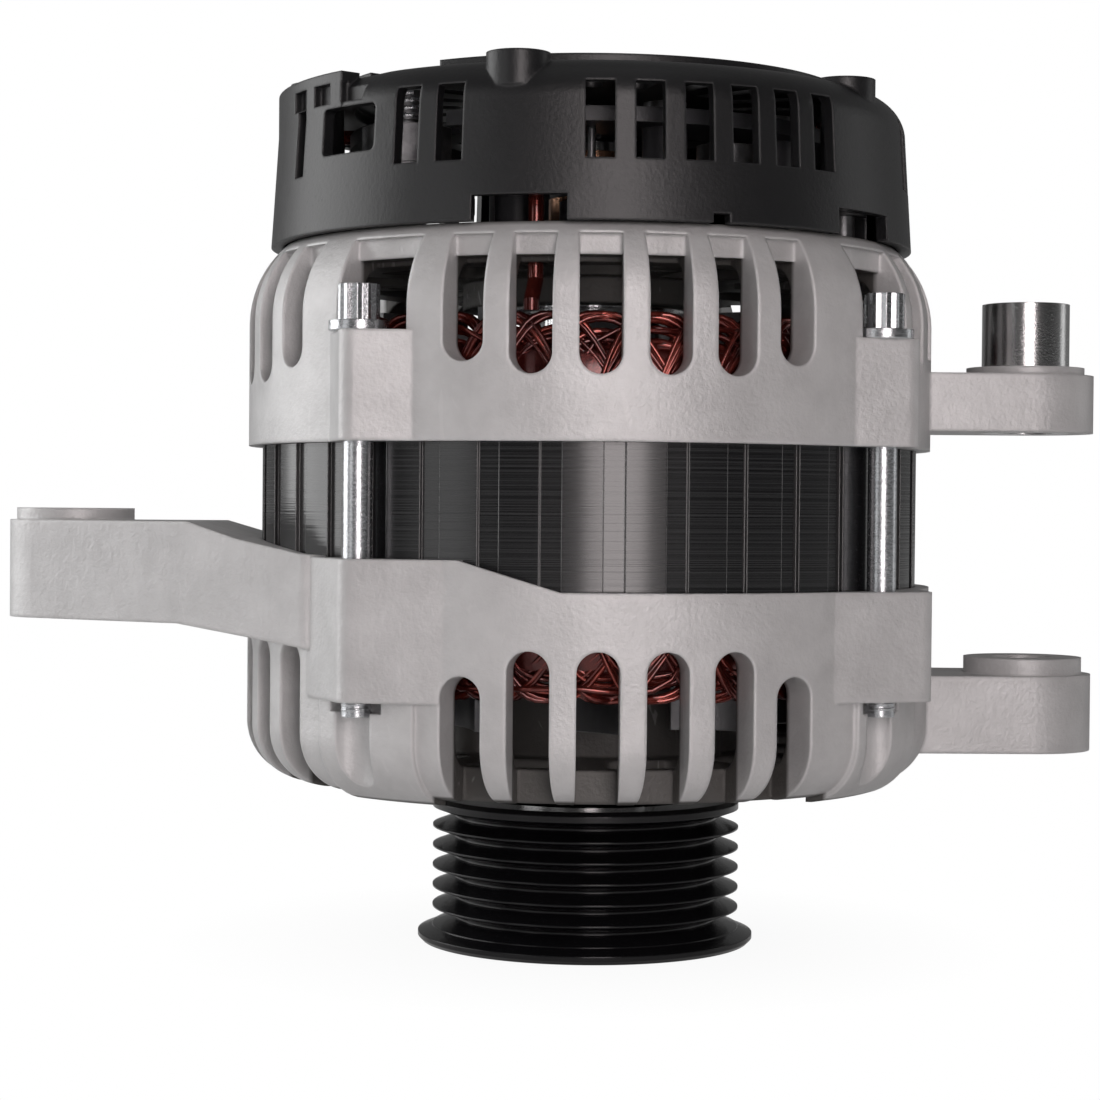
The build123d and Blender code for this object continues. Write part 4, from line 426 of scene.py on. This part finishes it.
# Threads: rolled on the through bolts' tips, M5 by 0.8, and on the output stud above its nut, M8 by 1.25
bolt_circle = 61.0 * mm
first_bolt = -37.5
bolt_radius = 2.4 * mm
bolt_pitch = 0.8 * mm
bolt_thread = (0.3 * mm, 3.5 * mm)
stud_radius = 4.0 * mm
stud_pitch = 1.25 * mm
stud_chamfer = 0.5 * mm
bolt_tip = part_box("through_bolts")[0].z
nut_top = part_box("output_nut")[1].z
stud_low, stud_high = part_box("output_stud")
threads_mesh = bpy.data.meshes.new("threads")
shape = bmesh.new()
for bolt in range(4):
    centre = round_point(bolt_circle, math.radians(first_bolt + 90 * bolt), 0)
    low, high = (bolt_tip + reach for reach in bolt_thread)
    cut_thread(shape, centre, low, high, bolt_radius, bolt_pitch)
centre = (stud_low + stud_high) / 2
centre.z = 0
cut_thread(shape, centre, nut_top, stud_high.z - stud_chamfer, stud_radius, stud_pitch)
bmesh.ops.recalc_face_normals(shape, faces=shape.faces)
shape.to_mesh(threads_mesh)
shape.free()
threads = bpy.data.objects.new("threads", threads_mesh)
bpy.context.scene.collection.objects.link(threads)
threads_mesh.materials.append(zinc)
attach(threads, "housing")

# Turned bright steel: the pivot bush in the upper right lug, the collar on the shaft and the coils
# that press the brushes on the slip rings
bright = finish(
    "bright_steel", colour=(0.72, 0.71, 0.71), dark=(0.6, 0.6, 0.6), edge=(0.9, 0.9, 0.9),
    metallic=1.0, roughness=0.2, rougher=0.3, grain=0.4 * mm, patch=8 * mm, edge_radius=0.3 * mm,
    depth=0.01 * mm)
dress(bright, "pivot_bush", "spacer_collar", "lower_brush_spring", "upper_brush_spring")


def wind_spring(node):
    """Coil of a brush spring; the real one shortens as its brush slides back into the holder, this coil
    keeps one length.
    """
    spring_wire = 0.4 * mm
    spring_turns = 4
    steps_per_turn = 24
    wire_sides = 8
    low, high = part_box(node)
    middle = (low + high) / 2
    coil_radius = (high.x - low.x) / 2 - spring_wire
    rise = high.y - low.y - 2 * spring_wire
    steps = spring_turns * steps_per_turn
    mesh = bpy.data.meshes.new(node + "_coil")
    shape = bmesh.new()
    section = []
    for corner in range(wire_sides):
        turn = math.tau * corner / wire_sides
        section.append(shape.verts.new((middle.x + coil_radius + spring_wire * math.cos(turn),
                                        low.y + spring_wire + spring_wire * math.sin(turn), middle.z)))
    lines = [shape.edges.new((section[k - 1], section[k])) for k in range(wire_sides)]
    bmesh.ops.spin(shape, geom=section + lines, cent=middle, axis=(0, 1, 0), angle=math.tau * spring_turns,
                   dvec=(0, rise / steps, 0), steps=steps)
    bmesh.ops.holes_fill(shape, edges=shape.edges, sides=wire_sides)
    bmesh.ops.recalc_face_normals(shape, faces=shape.faces)
    for face in shape.faces:
        face.smooth = True
    shape.to_mesh(mesh)
    shape.free()
    coil = bpy.data.objects.new(node + "_coil", mesh)
    bpy.context.scene.collection.objects.link(coil)
    mesh.materials.append(bright)
    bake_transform(coil)
    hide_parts(node)


wind_spring("lower_brush_spring")
wind_spring("upper_brush_spring")

# Ground bearing steel: races, balls and the shaft, polished where they run
ground = finish(
    "bearing_steel", colour=(0.74, 0.74, 0.75), dark=(0.66, 0.66, 0.67), edge=(0.85, 0.85, 0.85),
    metallic=1.0, roughness=0.12, rougher=0.18, grain=0.3 * mm, patch=10 * mm, edge_radius=0.2 * mm,
    depth=0.005 * mm)
dress(ground, "drive_bearing_outer_race", "drive_bearing_inner_race", "drive_bearing_balls",
      "rear_bearing_outer_race", "rear_bearing_inner_race", "rear_bearing_balls", "shaft")

# Rotor: forged claw poles round a coil, with a pressed sheet fan welded to each side, and two copper
# slip rings behind the rear bearing
forged = finish(
    "pole_steel", colour=(0.22, 0.22, 0.23), dark=(0.13, 0.13, 0.14), edge=(0.34, 0.34, 0.34),
    metallic=0.9, roughness=0.45, rougher=0.6, grain=0.8 * mm, patch=12 * mm, edge_radius=0.5 * mm,
    depth=0.04 * mm)
dress(forged, "front_claw_pole", "rear_claw_pole", "rotor_core")
# The fans are painted dark: painted shade of the housing's inside
fan_in_painted_shade = finish(
    "fan_steel", colour=(0.22, 0.22, 0.225), dark=(0.14, 0.14, 0.145), edge=(0.36, 0.36, 0.36),
    metallic=0.9, roughness=0.38, rougher=0.5, grain=0.5 * mm, patch=10 * mm, edge_radius=0.3 * mm,
    depth=0.02 * mm)
dress(fan_in_painted_shade, "front_fan", "rear_fan")
ring_copper = finish(
    "ring_copper", colour=(0.72, 0.40, 0.25), dark=(0.55, 0.30, 0.19), edge=(0.85, 0.5, 0.32),
    metallic=1.0, roughness=0.22, rougher=0.3, grain=0.3 * mm, patch=4 * mm, edge_radius=0.2 * mm,
    depth=0.01 * mm)
dress(ring_copper, "slip_rings")

# Rectifier, brush holder, regulator and connector: aluminium sinks, dark mouldings, carbon brushes and
# brass pins, all under the cover and seen only through its slots
# The sinks and the regulator are painted dark: painted shade of the cover's inside
sink_in_painted_shade = finish(
    "sink_aluminium", colour=(0.20, 0.20, 0.205), dark=(0.13, 0.13, 0.135), edge=(0.36, 0.36, 0.36),
    metallic=0.8, roughness=0.42, rougher=0.5, grain=0.6 * mm, patch=12 * mm, edge_radius=0.3 * mm,
    depth=0.02 * mm)
dress(sink_in_painted_shade, "negative_heat_sink", "positive_heat_sink", "voltage_regulator")
inner_plastic = finish(
    "inner_plastic", colour=(0.05, 0.05, 0.055), dark=(0.035, 0.035, 0.04), edge=(0.08, 0.08, 0.085),
    metallic=0, roughness=0.42, rougher=0.55, grain=0.5 * mm, patch=8 * mm, edge_radius=0.3 * mm,
    depth=0.02 * mm)
dress(inner_plastic, "heat_sink_insulators", "terminal_plate", "brush_holder", "connector_shell",
      "slip_ring_moulding")
carbon = finish(
    "carbon", colour=(0.03, 0.03, 0.03), dark=(0.02, 0.02, 0.02), edge=(0.06, 0.06, 0.06),
    metallic=0.2, roughness=0.5, rougher=0.6, grain=0.4 * mm, patch=3 * mm, edge_radius=0.2 * mm,
    depth=0.02 * mm)
dress(carbon, "lower_brush", "upper_brush")
brass = finish(
    "brass", colour=(0.70, 0.55, 0.28), dark=(0.55, 0.42, 0.2), edge=(0.85, 0.7, 0.4),
    metallic=1.0, roughness=0.28, rougher=0.36, grain=0.3 * mm, patch=4 * mm, edge_radius=0.15 * mm,
    depth=0.01 * mm)
dress(brass, "connector_pins")

# Rear cover: black glass-filled nylon, moulded in one piece, with a fine matt skin
cover_black = finish(
    "cover_plastic", colour=(0.010, 0.010, 0.011), dark=(0.006, 0.006, 0.007), edge=(0.03, 0.03, 0.032),
    metallic=0, roughness=0.40, rougher=0.5, grain=0.7 * mm, patch=14 * mm, edge_radius=0.6 * mm,
    depth=0.02 * mm, specular=0.6)
dress(cover_black, "rear_cover")

# Pulley: turned steel with six belt grooves and a flange, in a gloss black coating
pulley_black = finish(
    "pulley_coating", colour=(0.008, 0.008, 0.009), dark=(0.006, 0.006, 0.007), edge=(0.014, 0.014, 0.015),
    metallic=0, roughness=0.16, rougher=0.24, grain=0.8 * mm, patch=10 * mm, edge_radius=0.3 * mm,
    depth=0.008 * mm, specular=0.35)
dress(pulley_black, "pulley")

# Stage: a pale floor that fades into a white background, a large soft lamp at the left, a narrow one
# in front and weak ones elsewhere
floor_radius = 6.0
floor_drop = 0.2 * mm
floor_gloss_share = 0.25
near_floor = 20 * mm
far_floor = 75 * mm
near_floor_glow = 0.93
floor_mesh = bpy.data.meshes.new("floor")
shape = bmesh.new()
bmesh.ops.create_circle(shape, cap_ends=True, segments=96, radius=floor_radius)
bmesh.ops.translate(shape, verts=shape.verts, vec=(0, 0, -floor_drop))
shape.to_mesh(floor_mesh)
shape.free()
floor = bpy.data.objects.new("floor", floor_mesh)
bpy.context.scene.collection.objects.link(floor)
floor_white, tree, shader = start_finish("floor_white")
shader.inputs["Base Color"].default_value = (0.9, 0.9, 0.9, 1)
shader.inputs["Roughness"].default_value = 0.8
shader.inputs["Specular IOR Level"].default_value = 0.1
path = put(tree, "LightPath")
glow = put(tree, "Emission", Strength=1.0)
glow.inputs["Color"].default_value = (1, 1, 1, 1)
seen = put(tree, "Math", operation="MAXIMUM")
tree.links.new(path.outputs["Is Camera Ray"], seen.inputs[0])
floor_gloss = put(tree, "Math", operation="MULTIPLY")
tree.links.new(path.outputs["Is Glossy Ray"], floor_gloss.inputs[0])
floor_gloss.inputs[1].default_value = floor_gloss_share
tree.links.new(floor_gloss.outputs[0], seen.inputs[1])
floor_place = put(tree, "TexCoord")
floor_distance = put(tree, "VectorMath", operation="LENGTH")
tree.links.new(floor_place.outputs["Object"], floor_distance.inputs[0])
share = put(tree, "Math", operation="MULTIPLY")
tree.links.new(seen.outputs[0], share.inputs[0])
glow_share = spread(tree, floor_distance.outputs["Value"], near_floor, far_floor, near_floor_glow, 1.0)
tree.links.new(glow_share, share.inputs[1])
mix = put(tree, "MixShader")
tree.links.new(share.outputs[0], mix.inputs[0])
tree.links.new(shader.outputs[0], mix.inputs[1])
tree.links.new(glow.outputs[0], mix.inputs[2])
tree.links.new(mix.outputs[0], tree.nodes["Material Output"].inputs["Surface"])
floor_mesh.materials.append(floor_white)
floor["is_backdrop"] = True

world = bpy.data.worlds.new("studio")
bpy.context.scene.world = world
world.use_nodes = True
tree = world.node_tree
background = tree.nodes["Background"]
background.inputs["Color"].default_value = (1, 1, 1, 1)
ambient = 0.04
room_dark = 0.02
room_bright = 0.16
path = put(tree, "LightPath")
clear = put(tree, "Math", operation="MAXIMUM")
tree.links.new(path.outputs["Is Camera Ray"], clear.inputs[0])
tree.links.new(path.outputs["Is Transmission Ray"], clear.inputs[1])
direction = put(tree, "TexCoord")
parts = put(tree, "SeparateXYZ")
tree.links.new(direction.outputs["Generated"], parts.inputs[0])
behind = spread(tree, parts.outputs["Y"], -0.5, 0.35, room_dark, room_bright)
glossy_level = put(tree, "Mix", data_type="FLOAT")
tree.links.new(path.outputs["Is Glossy Ray"], glossy_level.inputs[0])
glossy_level.inputs[2].default_value = ambient
tree.links.new(behind, glossy_level.inputs[3])
level = put(tree, "Mix", data_type="FLOAT")
tree.links.new(clear.outputs[0], level.inputs[0])
tree.links.new(glossy_level.outputs[0], level.inputs[2])
level.inputs[3].default_value = 1.0
tree.links.new(level.outputs[0], background.inputs["Strength"])

body_middle = 80 * mm


def hang_lamp(name, azimuth, distance, height, width, tall, power, colour):
    """Soft lamp round the object, at an azimuth in degrees from the front, that looks at its middle."""
    data = bpy.data.lights.new(name, "AREA")
    data.shape = "RECTANGLE"
    data.size = width
    data.size_y = tall
    data.energy = power
    data.color = colour
    lamp = bpy.data.objects.new(name, data)
    bpy.context.scene.collection.objects.link(lamp)
    angle = math.radians(azimuth)
    lamp.location = (distance * math.sin(angle), -distance * math.cos(angle), height)
    aim = Vector((0, 0, body_middle)) - lamp.location
    lamp.rotation_mode = "QUATERNION"
    lamp.rotation_quaternion = aim.to_track_quat("-Z", "Y")


white = (1.0, 1.0, 1.0)
warm = (1.0, 0.92, 0.92)
hang_lamp("left_lamp", -101, 0.8, 0.16, 0.7, 0.9, 4.7, white)
hang_lamp("quarter_lamp", -48, 1.0, 0.30, 0.35, 0.8, 0.85, white)
hang_lamp("front_lamp", 9, 0.56, 0.17, 0.19, 0.46, 1.38, warm)
hang_lamp("right_lamp", 105, 1.0, 0.2, 0.3, 0.7, 0.5, white)
hang_lamp("top_lamp", 0, 0.25, 1.1, 0.9, 0.9, 0.5, white)

# Camera: the photograph was taken from a little under half a metre, level with the core
camera_distance = 0.470
camera_height = 0.077
focal_pixels = 2622.6
photo_pixels = 1100
axis_pixel = 588.3
level_pixel = 508.0
camera_data = bpy.data.cameras.new("camera")
camera_data.sensor_width = 36
camera_data.lens = 36 * focal_pixels / photo_pixels
camera_data.clip_start = 0.02
camera = bpy.data.objects.new("camera", camera_data)
bpy.context.scene.collection.objects.link(camera)
camera.location = (0, -camera_distance, camera_height)
yaw = math.atan((axis_pixel - photo_pixels / 2) / focal_pixels)
pitch = math.atan((photo_pixels / 2 - level_pixel) / focal_pixels)
roll = math.radians(0.5)
camera.rotation_euler = (math.pi / 2 - pitch, -roll, yaw)
bpy.context.scene.camera = camera
bpy.context.scene.view_settings.view_transform = "Standard"

low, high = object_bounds()
